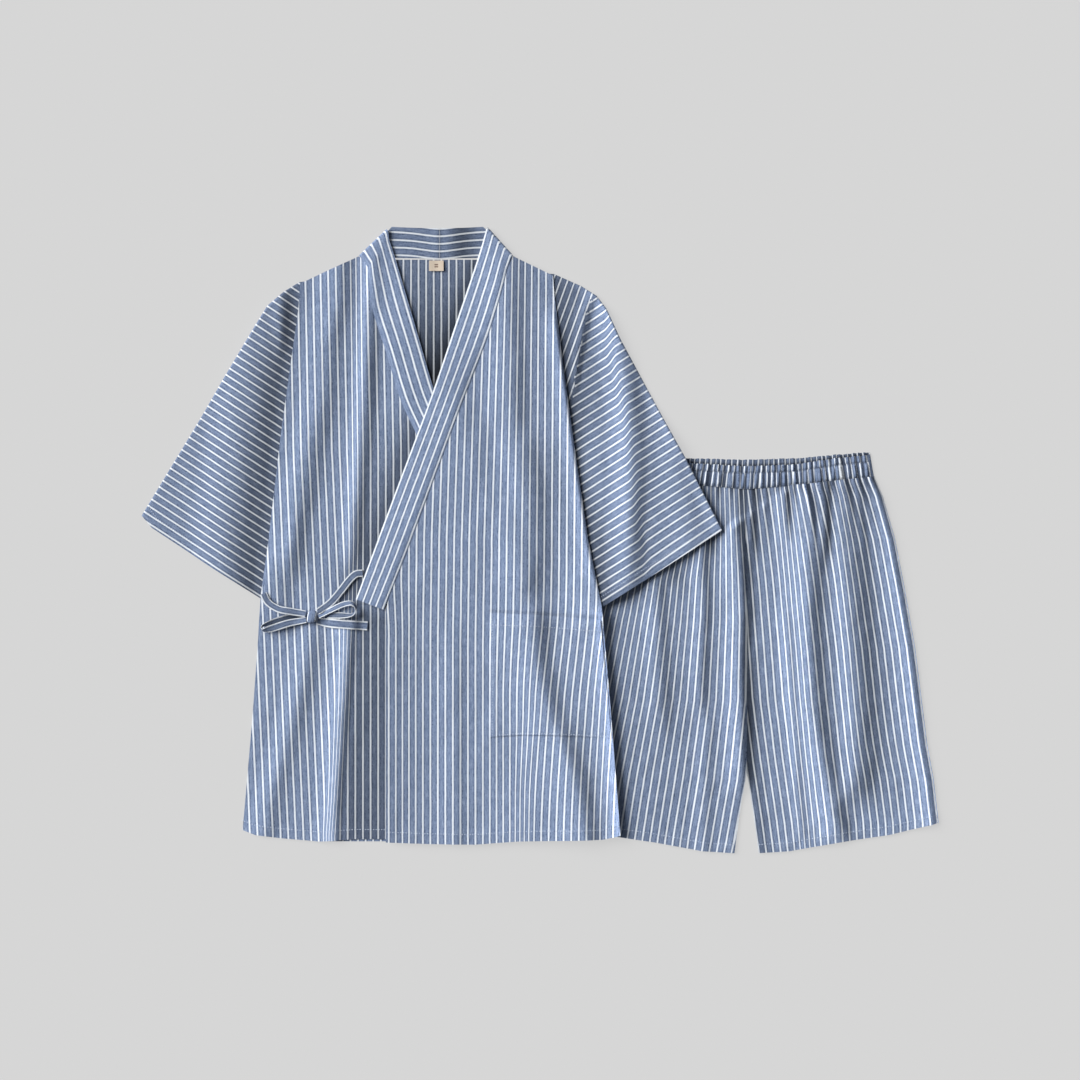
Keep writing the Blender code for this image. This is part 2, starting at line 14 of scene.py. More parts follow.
import bpy
import numpy as np
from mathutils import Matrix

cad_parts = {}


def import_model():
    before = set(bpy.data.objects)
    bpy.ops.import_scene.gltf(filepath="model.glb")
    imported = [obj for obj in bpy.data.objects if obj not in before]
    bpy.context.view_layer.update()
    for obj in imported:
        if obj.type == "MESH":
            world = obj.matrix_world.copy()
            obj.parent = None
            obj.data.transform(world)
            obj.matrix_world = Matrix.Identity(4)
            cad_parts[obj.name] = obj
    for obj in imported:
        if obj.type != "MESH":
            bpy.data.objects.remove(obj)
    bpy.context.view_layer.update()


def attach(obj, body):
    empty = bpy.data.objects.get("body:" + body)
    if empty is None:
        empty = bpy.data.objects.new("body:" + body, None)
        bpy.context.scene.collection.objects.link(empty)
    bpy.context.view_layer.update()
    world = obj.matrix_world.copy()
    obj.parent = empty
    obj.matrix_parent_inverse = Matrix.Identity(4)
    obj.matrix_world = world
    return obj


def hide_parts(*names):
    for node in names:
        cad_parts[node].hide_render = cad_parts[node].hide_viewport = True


Edge = Sequence[tuple[float, float]]
Colour = tuple[float, float, float, float]
Height = Callable[[np.ndarray, np.ndarray], np.ndarray]

MM = 0.001
BODY = "root"
UV_NAME = "cloth"
# point attribute that carries painted shade, and painted highlights where it is below 0
SHADE_NAME = "shade"

WALL = 1.2  # the room that one layer of cloth has in the frame
GAP = 0.45
SEAM = 0.35
LAYER = WALL + GAP
CLOTH = 0.62  # how thick the cloth itself is
REPEAT = 9.4  # from one white line to the next
UNIT = 10.0  # length of cloth for one unit along the lines in a UV map

log = logging.getLogger("jinbei")


class Slot(Enum):
    """Names of material slots."""

    COTTON = "striped_cotton"
    TIES = "tie_cotton"
    TAPE = "label_tape"


class Held(Enum):
    """How a sheet of cloth is held."""

    LAID = "laid"
    GATHERED = "gathered"
    FOLDED = "folded"


# ---------------------------------------------------------------- shader maths


class Signal:
    """A number that varies over a surface; an expression on it adds Math nodes."""

    def __init__(self, recipe: "Recipe", socket: bpy.types.NodeSocket) -> None:
        """Wraps one output socket of a recipe's tree."""
        self.recipe = recipe
        self.socket = socket

    def maths(self, operation: str, *values: object) -> "Signal":
        """Adds one Math node.

        Args:
            operation: The node's operation.
            *values: Its inputs in order, signals or plain numbers.

        Returns:
            The node's result.
        """
        settings = {"operation": operation}
        node = self.recipe.node("ShaderNodeMath", settings, dict(enumerate(values)))
        return Signal(self.recipe, node.outputs[0])

    def __add__(self, other: object) -> "Signal":
        """Sum."""
        return self.maths("ADD", self, other)

    __radd__ = __add__

    def __sub__(self, other: object) -> "Signal":
        """Difference."""
        return self.maths("SUBTRACT", self, other)

    def __rsub__(self, other: object) -> "Signal":
        """Difference from a plain number."""
        return self.maths("SUBTRACT", other, self)

    def __mul__(self, other: object) -> "Signal":
        """Product."""
        return self.maths("MULTIPLY", self, other)

    __rmul__ = __mul__

    def __truediv__(self, other: object) -> "Signal":
        """Quotient."""
        return self.maths("DIVIDE", self, other)

    def __abs__(self) -> "Signal":
        """Size without its sign."""
        return self.maths("ABSOLUTE", self)

    def part(self) -> "Signal":
        """What is left over the last whole number."""
        return self.maths("FRACT", self)

    def eased(self, start: float, end: float) -> "Signal":
        """0 at start and 1 at end with a soft curve between, in either direction."""
        values = {"Value": self, "From Min": start, "From Max": end}
        node = self.recipe.node("ShaderNodeMapRange", {"interpolation_type": "SMOOTHSTEP"}, values)
        return Signal(self.recipe, node.outputs["Result"])


class Recipe:
    """A material's node tree while it is being built."""

    def __init__(self, name: str) -> None:
        """Starts a material with an empty tree."""
        self.material = bpy.data.materials.new(name)
        self.material.use_nodes = True
        self.tree = self.material.node_tree
        self.tree.nodes.clear()

    def node(self, kind: str, settings: dict | None = None, values: dict | None = None) -> bpy.types.Node:
        """Adds a node.

        Args:
            kind: The node's type.
            settings: Its own properties, set before its sockets.
            values: A value, a signal or a link for each of its input sockets.

        Returns:
            The new node.
        """
        made = self.tree.nodes.new(kind)
        for key, setting in (settings or {}).items():
            setattr(made, key, setting)
        for key, value in (values or {}).items():
            source = value.socket if isinstance(value, Signal) else value
            if isinstance(source, bpy.types.NodeSocket):
                self.tree.links.new(source, made.inputs[key])
            else:
                made.inputs[key].default_value = source
        return made

    def signal(self, kind: str, output: str, settings: dict | None = None,
               values: dict | None = None) -> Signal:
        """Adds a node and wraps one of its outputs."""
        return Signal(self, self.node(kind, settings, values).outputs[output])

    def along(self) -> tuple[Signal, Signal]:
        """The cloth's own directions: repeats across the lines, and units along them."""
        places = self.node("ShaderNodeUVMap", {"uv_map": UV_NAME}).outputs["UV"]
        parts = self.node("ShaderNodeSeparateXYZ", None, {0: places})
        return Signal(self, parts.outputs["X"]), Signal(self, parts.outputs["Y"])

    def noise(self, across: Signal, along: Signal, scale: float, detail: float = 2.0) -> Signal:
        """Soft noise over two directions, around a half.

        Args:
            across: The first direction.
            along: The second direction.
            scale: How many grains a unit holds.
            detail: How many finer layers are added.

        Returns:
            The noise.
        """
        place = self.node("ShaderNodeCombineXYZ", None, {"X": across, "Y": along}).outputs[0]
        values = {"Vector": place, "Scale": scale, "Detail": detail}
        return self.signal("ShaderNodeTexNoise", "Fac", {"noise_dimensions": "2D"}, values)

    def mix(self, share: Signal, base: object, top: object) -> bpy.types.NodeSocket:
        """Base where the share is 0 and top where it is 1, as colours."""
        node = self.node("ShaderNodeMix", {"data_type": "RGBA"}, {0: share, 6: base, 7: top})
        return node.outputs[2]

    def dimmed(self, colour: object, light: Signal) -> bpy.types.NodeSocket:
        """A colour times a number."""
        node = self.node("ShaderNodeVectorMath", {"operation": "SCALE"}, {0: colour, "Scale": light})
        return node.outputs[0]

    def finish(self, colour: object, roughness: object, height: Signal | None, depth: float,
               constants: dict[str, float]) -> bpy.types.Material:
        """Ends the tree in a Principled shader.

        Args:
            colour: Base colour.
            roughness: Roughness.
            height: Bump height, or None.
            depth: How deep the bump is, in metres.
            constants: Other sockets of the shader, the same all over.

        Returns:
            The material.
        """
        values = {"Base Color": colour, "Roughness": roughness, **constants}
        if height is not None:
            bump = self.node("ShaderNodeBump", None, {"Height": height, "Distance": depth})
            values["Normal"] = bump.outputs["Normal"]
        shader = self.node("ShaderNodeBsdfPrincipled", None, values)
        self.node("ShaderNodeOutputMaterial", None, {"Surface": shader.outputs[0]})
        return self.material


# ---------------------------------------------------------------- finishes


@dataclass(frozen=True)
class StripedCotton:
    """Yarn-dyed cotton: a mottled blue ground with fine white lines, dimmed by the painted shade that a piece
    carries.
    """

    name: str = "striped_cotton"
    ground: Colour = (0.172, 0.234, 0.378, 1)
    pale_ground: Colour = (0.345, 0.425, 0.600, 1)
    deep_ground: Colour = (0.030, 0.052, 0.112, 1)
    line: Colour = (0.86, 0.91, 0.97, 1)
    line_half: float = 0.102  # of a repeat
    line_soft: float = 0.035
    shoulder: float = 0.235
    line_shade: float = 0.55  # how much of the painted shade falls on the lines
    roughness: float = 0.88

    def make(self) -> bpy.types.Material:
        """Builds the material.

        Returns:
            The material.
        """
        recipe = Recipe(self.name)
        across, along = recipe.along()
        drift = recipe.noise(across * 0.7, along * 0.5, 1.0) - 0.5
        from_line = abs((across + drift * 0.05 + 0.5).part() - 0.5)
        line = 1 - from_line.eased(self.line_half - self.line_soft, self.line_half + self.line_soft)
        shoulder = 1 - abs(from_line - self.shoulder).eased(0.0, 0.10)
        warp = recipe.noise(across * 9.0, along * 1.1, 1.0, 3.0)
        fleck = recipe.noise(across * 6.5, along * 6.0, 1.0, 2.0)
        cloud = recipe.noise(across * 0.9, along * 0.9, 1.0, 2.0)
        pale = warp.eased(0.38, 0.74) * 0.60 + cloud.eased(0.35, 0.75) * 0.20
        deep = shoulder * (0.28 + 0.90 * fleck.eased(0.46, 0.62)) + fleck.eased(0.54, 0.68) * 0.45
        colour = recipe.mix(pale, self.ground, self.pale_ground)
        colour = recipe.mix(deep * 0.62, colour, self.deep_ground)
        # painted shade from the piece's attribute darkens the ground, and part of it the white lines
        shade = recipe.signal("ShaderNodeAttribute", "Fac", {"attribute_name": SHADE_NAME})
        colour = recipe.dimmed(colour, 1 - shade)
        white = line * (0.90 + 0.10 * fleck.eased(0.7, 0.4))
        pale_line = recipe.dimmed(self.line[:3], 1 - shade * self.line_shade)
        colour = recipe.mix(white, colour, pale_line)
        weft = abs((along * 22.0).part() - 0.5)
        ends = abs((across * 20.0).part() - 0.5)
        height = weft * 0.5 + ends * 0.5 + warp * 1.2 + fleck * 1.2 + line * 0.4
        constants = {"Specular IOR Level": 0.25, "Sheen Weight": 0.12, "Sheen Roughness": 0.5}
        return recipe.finish(colour, self.roughness - 0.06 * line, height, 0.00016, constants)


@dataclass(frozen=True)
class SewingThread:
    """Pale polyester thread, a little shiny, with a twist along it."""

    name: str = "sewing_thread"
    colour: Colour = (0.74, 0.81, 0.92, 1)
    dark: Colour = (0.44, 0.52, 0.68, 1)

    def make(self) -> bpy.types.Material:
        """Builds the material.

        Returns:
            The material.
        """
        recipe = Recipe(self.name)
        place = recipe.node("ShaderNodeTexCoord").outputs["Object"]
        values = {"Vector": place, "Scale": 900.0, "Detail": 1.0}
        twist = recipe.signal("ShaderNodeTexNoise", "Fac", None, values)
        colour = recipe.mix(twist.eased(0.35, 0.7), self.dark, self.colour)
        return recipe.finish(colour, 0.62, twist, 0.0001, {"Specular IOR Level": 0.4})


@dataclass(frozen=True)
class WovenTape:
    """Cream ribbed tape with a small generic woven mark, two short bars."""

    name: str = "label_tape"
    cream: Colour = (0.74, 0.64, 0.53, 1)
    deep: Colour = (0.58, 0.48, 0.38, 1)
    mark: Colour = (0.20, 0.13, 0.10, 1)
    bar_half: float = 0.11
    bar_places: tuple[float, float] = (0.40, 0.60)

    def make(self) -> bpy.types.Material:
        """Builds the material; the map runs from 0 to 1 over the tape both ways.

        Returns:
            The material.
        """
        recipe = Recipe(self.name)
        across, along = recipe.along()
        rib = abs((along * 26.0).part() - 0.5)
        grain = recipe.noise(across * 60.0, along * 30.0, 1.0)
        colour = recipe.mix(rib * 0.7 + grain * 0.5, self.deep, self.cream)
        width = 1 - abs(across - 0.5).eased(self.bar_half, self.bar_half + 0.03)
        for place in self.bar_places:
            bar = 1 - abs(along - place).eased(0.05, 0.075)
            colour = recipe.mix(width * bar, colour, self.mark)
        return recipe.finish(colour, 0.75, rib, 0.00015, {"Sheen Weight": 0.1})


@dataclass(frozen=True)
class StudioPaper:
    """Plain pale paper under the set, lit a little from below so that shadows on it are faint."""

    name: str = "studio_paper"
    colour: Colour = (0.11, 0.11, 0.11, 1)
    glow: float = 0.562

    def make(self) -> bpy.types.Material:
        """Builds the material.

        Returns:
            The material.
        """
        recipe = Recipe(self.name)
        constants = {"Specular IOR Level": 0.0, "Emission Color": (1, 1, 1, 1), "Emission Strength": self.glow}
        return recipe.finish(self.colour, 1.0, None, 0.0, constants)


# ---------------------------------------------------------------- shapes


def smooth(value: np.ndarray, start: float, end: float) -> np.ndarray:
    """0 before start, 1 after end, and an even S-curve between them."""
    share = np.clip((value - start) / (end - start), 0, 1)
    return share * share * (3 - 2 * share)


def x_on(edge: Edge, y: np.ndarray) -> np.ndarray:
    """The x of an edge, listed from top to bottom, at height y."""
    points = np.array(edge, float)[::-1]
    return np.interp(y, points[:, 1], points[:, 0])


def along(edge: Edge, shares: np.ndarray) -> np.ndarray:
    """The points of an edge at shares of its length."""
    points = np.array(edge, float)
    marks = lengths(edge)
    return np.stack([np.interp(shares, marks, points[:, axis]) for axis in (0, 1)], -1)


def lengths(edge: Edge) -> np.ndarray:
    """Share of the whole length at each point of an edge."""
    steps = np.linalg.norm(np.diff(np.array(edge, float), axis=0), axis=1)
    runs = np.concatenate([[0], np.cumsum(steps)])
    return runs / runs[-1]


def turned(edge: Edge, centre: float) -> Edge:
    """An edge turned over an upright line."""
    return tuple((2 * centre - x, y) for x, y in edge)


def shifted(edge: Edge, dx: float) -> Edge:
    """An edge moved sideways."""
    return tuple((x + dx, y) for x, y in edge)


def eased_rows(rows: Sequence[Sequence[float]], parts: int) -> np.ndarray:
    """Rows of a table with more rows between them, on a smooth curve through all of them.

    Args:
        rows: The table.
        parts: How many steps each of its spans takes.

    Returns:
        The finer table.
    """
    table = np.array(rows, float)
    padded = np.concatenate([table[:1], table, table[-1:]])
    finer = []
    for before, here, there, after in zip(padded, padded[1:], padded[2:], padded[3:]):
        for t in np.arange(parts) / parts:
            finer.append(0.5 * (
                2 * here + (there - before) * t
                + (2 * before - 5 * here + 4 * there - after) * t ** 2
                + (3 * here - before - 3 * there + after) * t ** 3
            ))
    return np.array(finer + [table[-1]])


@dataclass(frozen=True)
class Patch:
    """A piece of cloth between four edges."""

    top: Edge
    low: Edge
    left: Edge
    right: Edge

    def marks(self, count: int, *edges: Edge, roll: float = 0.0) -> np.ndarray:
        """Even shares, the nearest of them moved onto the edges' corners.

        Args:
            count: How many steps there are.
            *edges: The edges whose corners are kept.
            roll: Share near both ends that takes extra steps, for a rounded edge.

        Returns:
            The shares from 0 to 1.
        """
        shares = np.linspace(0, 1, count + 1)
        for edge in edges:
            for corner in lengths(edge)[1:-1]:
                shares[1 + np.argmin(np.abs(shares[1:-1] - corner))] = corner
        if roll:
            near = roll * np.array([0.12, 0.35, 0.7, 1.0])
            shares = np.concatenate([shares, near, 1 - near])
        return np.unique(shares)

    def grid(self, across: np.ndarray, down: np.ndarray) -> tuple[np.ndarray, np.ndarray]:
        """Points of the patch, blended from its edges.

        Args:
            across: Shares from the left to the right edge.
            down: Shares from the top to the low edge.

        Returns:
            The x and the y of each point, a row of the arrays for each share down.
        """
        top = along(self.top, across)[None]
        low = along(self.low, across)[None]
        left = along(self.left, down)[:, None]
        right = along(self.right, down)[:, None]
        u = across[None, :, None]
        v = down[:, None, None]
        corners = (top[:, :1] * (1 - u) + top[:, -1:] * u) * (1 - v) + (low[:, :1] * (1 - u) + low[:, -1:] * u) * v
        points = left * (1 - u) + right * u + top * (1 - v) + low * v - corners
        return points[..., 0], points[..., 1]


@dataclass(frozen=True)
class Fold:
    """A soft ridge that the cloth is laid in, along a path listed from its top to its low end."""

    path: Edge
    left: float
    right: float
    height: float
    fade: float = 50.0
    dark: float = 0.0  # painted shade on its right flank, as a share darker
    light: float = 0.0  # and painted highlight on its left flank, as a share paler

    def ends(self, y: np.ndarray) -> np.ndarray:
        """1 along the fold, dying out at its ends."""
        top = self.path[0][1]
        low = self.path[-1][1]
        return smooth(y, low, low + self.fade) * (1 - smooth(y, top - self.fade, top))

    def raised(self, x: np.ndarray, y: np.ndarray) -> np.ndarray:
        """How high the fold stands."""
        off = x - x_on(self.path, y)
        reach = np.where(off < 0, self.left, self.right)
        crest = 0.5 + 0.5 * np.cos(np.pi * np.clip(off / reach, -1, 1))
        return self.height * crest * self.ends(y)

    def shaded(self, x: np.ndarray, y: np.ndarray) -> np.ndarray:
        """Painted shade on the fold's right flank, less a painted highlight just left of its crest."""
        off = x - x_on(self.path, y)
        valley = self.dark * np.exp(-((off / self.right - 0.75) / 0.55) ** 2)
        crest = self.light * np.exp(-((off / self.left + 0.12) / 0.38) ** 2)
        return (valley - crest) * self.ends(y)


def folded(folds: Sequence[Fold], x: np.ndarray, y: np.ndarray) -> np.ndarray:
    """Height of several folds together."""
    return sum(fold.raised(x, y) for fold in folds) if folds else np.zeros_like(x)


def shaded(folds: Sequence[Fold], x: np.ndarray, y: np.ndarray) -> np.ndarray:
    """Painted shade in the valleys of several folds together, less their painted highlights."""
    light = np.ones_like(x)
    for fold in folds:
        light = light * (1 - fold.shaded(x, y))
    return 1 - light


def pinched(path: Edge, reach: float, x: np.ndarray, y: np.ndarray) -> np.ndarray:
    """Share of a fold's spare cloth that lies left of a place."""
    middle = x_on(path, y)
    return smooth(x, middle - reach, middle + reach)


@dataclass(frozen=True)
class Rumple:
    """Small unevenness of worn and pressed cloth, a sum of low waves."""

    height: float
    longest: float
    shortest: float
    seed: int
    spread: float = 0.9  # how far the waves' directions turn from straight across
    waves: int = 16

    def raised(self, x: np.ndarray, y: np.ndarray) -> np.ndarray:
        """Height at a place, above and below 0."""
        draw = np.random.default_rng(self.seed)
        total = np.zeros_like(x)
        for _ in range(self.waves):
            wave = self.longest * (self.shortest / self.longest) ** draw.random()
            angle = (draw.random() - 0.5) * 2 * self.spread
            phase = draw.random() * 2 * np.pi
            place = x * np.cos(angle) + y * np.sin(angle)
            total = total + np.sin(2 * np.pi * place / wave + phase) * (wave / self.longest) ** 0.7
        return self.height * total / math.sqrt(self.waves / 2)


@dataclass(frozen=True)
class Weave:
    """Where the cloth's lines run on a piece: repeats across them and length along them."""

    across: np.ndarray
    along: np.ndarray

    def map(self) -> np.ndarray:
        """The piece's UV places."""
        return np.stack([self.across, self.along / UNIT], -1)


def add_piece(name: str, points: np.ndarray, faces: np.ndarray, places: np.ndarray,
              material: bpy.types.Material, shade: np.ndarray | None = None) -> bpy.types.Object:
    """Makes an object from points in millimetres, its faces turned outwards.

    Args:
        name: The object's name.
        points: One row for each point.
        faces: Four point numbers for each face.
        places: UV places, one for each corner of each face.
        material: Its finish.
        shade: How much painted shade darkens each point, or None.

    Returns:
        The object.
    """
    corners = points[faces]
    middle = corners.mean(1)
    spans = np.cross(corners[:, 2] - corners[:, 0], corners[:, 3] - corners[:, 1])
    if np.einsum("ij,ij->", middle, spans) < 0:
        faces = faces[:, ::-1]
        places = places[:, ::-1]
    mesh = bpy.data.meshes.new(name)
    mesh.from_pydata((points * MM).tolist(), [], faces.tolist())
    layer = mesh.uv_layers.new(name=UV_NAME)
    layer.data.foreach_set("uv", places.reshape(-1).astype(np.float32))
    if shade is not None:
        attribute = mesh.attributes.new(SHADE_NAME, "FLOAT", "POINT")
        attribute.data.foreach_set("value", shade.reshape(-1).astype(np.float32))
    mesh.materials.append(material)
    mesh.shade_smooth()
    mesh.set_sharp_from_angle(angle=math.radians(62))
    piece = bpy.data.objects.new(name, mesh)
    bpy.context.scene.collection.objects.link(piece)
    return piece


def surface_normals(points: np.ndarray, ring: bool = False) -> np.ndarray:
    """Unit normals of a grid of points.

    Args:
        points: The grid.
        ring: Whether its last column meets its first.

    Returns:
        A normal for each point.
    """
    if ring:
        wide = np.concatenate([points[:, -1:], points, points[:, :1]], 1)
        over = (wide[:, 2:] - wide[:, :-2])
    else:
        over = np.gradient(points, axis=1)
    down = np.gradient(points, axis=0)
    normals = np.cross(down, over)
    return normals / np.maximum(np.linalg.norm(normals, axis=-1, keepdims=True), 1e-9)


def shell(name: str, points: np.ndarray, weave: Weave, material: bpy.types.Material, ring: bool = False,
          thickness: float | np.ndarray = CLOTH, shade: np.ndarray | None = None,
          other: tuple[Weave, np.ndarray] | None = None) -> bpy.types.Object:
    """A thin closed shell of cloth, half its thickness to either side of a grid.

    Args:
        name: The piece's name.
        points: The grid, in millimetres.
        weave: Where the lines run.
        material: Its finish.
        ring: Whether the last column meets the first, as on a tube.
        thickness: The cloth's thickness, one or one for each point.
        shade: How much painted shade darkens each point, or None.
        other: A second weave, and the faces that it holds on.

    Returns:
        The piece.
    """
    rows, columns = points.shape[:2]
    thick = np.broadcast_to(np.asarray(thickness, float), (rows, columns))[..., None]
    offset = surface_normals(points, ring) * thick / 2
    half = rows * columns
    number = np.arange(half).reshape(rows, columns)
    if ring:
        number = np.concatenate([number, number[:, :1]], 1)
    quads = np.stack([number[:-1, :-1], number[:-1, 1:], number[1:, 1:], number[1:, :-1]], -1)
    flat = quads.reshape(-1, 4)
    if ring:
        rims = [(number[0, :-1], number[0, 1:]), (number[-1, 1:], number[-1, :-1])]
    else:
        rim = np.concatenate([number[0], number[1:, -1], number[-1, -2::-1], number[-2::-1, 0]])
        rims = [(rim[:-1], rim[1:])]
    faces = [flat, half + flat[:, ::-1]]
    faces += [np.stack([there, here, half + here, half + there], -1) for here, there in rims]
    every = np.concatenate(faces)
    places = weave.map().reshape(-1, 2)
    corner_places = np.concatenate([places, places])[every]
    if other is not None:
        second = other[0].map().reshape(-1, 2)
        mask = np.concatenate([other[1].reshape(-1)] * 2)
        chosen = np.nonzero(mask)[0]
        corner_places[chosen] = np.concatenate([second, second])[every[chosen]]
    both = np.concatenate([(points + offset).reshape(-1, 3), (points - offset).reshape(-1, 3)])
    shades = None if shade is None else np.concatenate([shade.reshape(-1)] * 2)
    return add_piece(name, both, every, corner_places, material, shades)


# ---------------------------------------------------------------- stitches


@dataclass(frozen=True)
class StitchRow:
    """Rows of machine stitches that follow lines on the cloth."""

    pitch: float = 3.3
    length: float = 2.4
    thickness: float = 0.8
    seed: int = 7

    def tree(self, material: bpy.types.Material) -> bpy.types.NodeTree:
        """Builds the node tree, with its sizes as named inputs.

        Args:
            material: The thread.

        Returns:
            The tree.
        """
        tree = bpy.data.node_groups.new("stitch_row", "GeometryNodeTree")
        tree.interface.new_socket("Geometry", in_out="INPUT", socket_type="NodeSocketGeometry")
        for label in ("Pitch", "Length", "Thickness"):
            tree.interface.new_socket(label, in_out="INPUT", socket_type="NodeSocketFloat")
        tree.interface.new_socket("Seed", in_out="INPUT", socket_type="NodeSocketInt")
        tree.interface.new_socket("Geometry", in_out="OUTPUT", socket_type="NodeSocketGeometry")
        nodes = tree.nodes
        link = tree.links.new
        inputs = nodes.new("NodeGroupInput")
        curve = nodes.new("GeometryNodeMeshToCurve")
        even = nodes.new("GeometryNodeResampleCurve")
        even.mode = "LENGTH"
        ball = nodes.new("GeometryNodeMeshUVSphere")
        ball.inputs["Segments"].default_value = 6
        ball.inputs["Rings"].default_value = 4
        ball.inputs["Radius"].default_value = 0.5
        tangent = nodes.new("GeometryNodeInputTangent")
        aim = nodes.new("FunctionNodeAlignRotationToVector")
        aim.axis = "X"
        vary = nodes.new("FunctionNodeRandomValue")
        vary.inputs[2].default_value = 0.8
        vary.inputs[3].default_value = 1.1
        long = nodes.new("ShaderNodeMath")
        long.operation = "MULTIPLY"
        size = nodes.new("ShaderNodeCombineXYZ")
        place = nodes.new("GeometryNodeInstanceOnPoints")
        real = nodes.new("GeometryNodeRealizeInstances")
        dress = nodes.new("GeometryNodeSetMaterial")
        dress.inputs["Material"].default_value = material
        outputs = nodes.new("NodeGroupOutput")
        link(inputs.outputs["Geometry"], curve.inputs["Mesh"])
        link(curve.outputs["Curve"], even.inputs["Curve"])
        link(inputs.outputs["Pitch"], even.inputs["Length"])
        link(even.outputs["Curve"], place.inputs["Points"])
        link(ball.outputs["Mesh"], place.inputs["Instance"])
        link(tangent.outputs["Tangent"], aim.inputs["Vector"])
        link(aim.outputs["Rotation"], place.inputs["Rotation"])
        link(inputs.outputs["Seed"], vary.inputs["Seed"])
        link(inputs.outputs["Length"], long.inputs[0])
        link(vary.outputs[1], long.inputs[1])
        link(long.outputs[0], size.inputs["X"])
        link(inputs.outputs["Thickness"], size.inputs["Y"])
        link(inputs.outputs["Thickness"], size.inputs["Z"])
        link(size.outputs[0], place.inputs["Scale"])
        link(place.outputs["Instances"], real.inputs["Geometry"])
        link(real.outputs["Geometry"], dress.inputs["Geometry"])
        link(dress.outputs["Geometry"], outputs.inputs["Geometry"])
        return tree

    def sew(self, name: str, lines: Sequence[np.ndarray], material: bpy.types.Material) -> bpy.types.Object:
        """Sews one object of stitches.

        Args:
            name: The piece's name.
            lines: The rows, each a list of points in millimetres.
            material: The thread.

        Returns:
            The stitches as a plain mesh.
        """
        points = np.concatenate(lines) * MM
        edges = []
        start = 0
        for line in lines:
            edges += [(start + i, start + i + 1) for i in range(len(line) - 1)]
            start += len(line)
        path = bpy.data.meshes.new(f"{name}_path")
        path.from_pydata(points.tolist(), edges, [])
        carrier = bpy.data.objects.new(f"{name}_path", path)
        bpy.context.scene.collection.objects.link(carrier)
        modifier = carrier.modifiers.new("stitches", "NODES")
        tree = self.tree(material)
        modifier.node_group = tree
        sizes = {"Pitch": self.pitch * MM, "Length": self.length * MM, "Thickness": self.thickness * MM,
                 "Seed": self.seed}
        for item in tree.interface.items_tree:
            if item.in_out == "INPUT" and item.name in sizes:
                modifier[item.identifier] = sizes[item.name]
        evaluated = carrier.evaluated_get(bpy.context.evaluated_depsgraph_get())
        mesh = bpy.data.meshes.new_from_object(evaluated)
        mesh.name = name
        mesh.shade_smooth()
        bpy.data.objects.remove(carrier)
        bpy.data.meshes.remove(path)
        piece = bpy.data.objects.new(name, mesh)
        bpy.context.scene.collection.objects.link(piece)
        return piece


def on_surface(height: Height, line: Edge, lift: float, step: float = 4.0) -> np.ndarray:
    """Points of a line laid on a surface.

    Args:
        height: The surface.
        line: The line's own points.
        lift: How far above the surface it lies.
        step: Distance between points.

    Returns:
        The points in three directions.
    """
    run = float(np.linalg.norm(np.diff(np.array(line, float), axis=0), axis=1).sum())
    flat = along(line, np.linspace(0, 1, max(int(run / step), 2)))
    return np.column_stack([flat, height(flat[:, 0], flat[:, 1]) + lift])


# ---------------------------------------------------------------- handing a piece over


@dataclass(frozen=True)
class Cut:
    """How a piece was cut and how it is held."""

    width: float
    length: float
    area: float | None = None  # share of width times length that the cut fills
    held: Held = Held.LAID


def hand_over(piece: bpy.types.Object, nodes: Sequence[str]) -> bpy.types.Object:
    """Makes a piece ride, and stand for its nodes of the frame."""
    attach(piece, BODY)
    if nodes:
        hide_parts(*nodes)
    log.info("%s: %d faces", piece.name, len(piece.data.polygons))
    return piece


# ---------------------------------------------------------------- the lay of the set


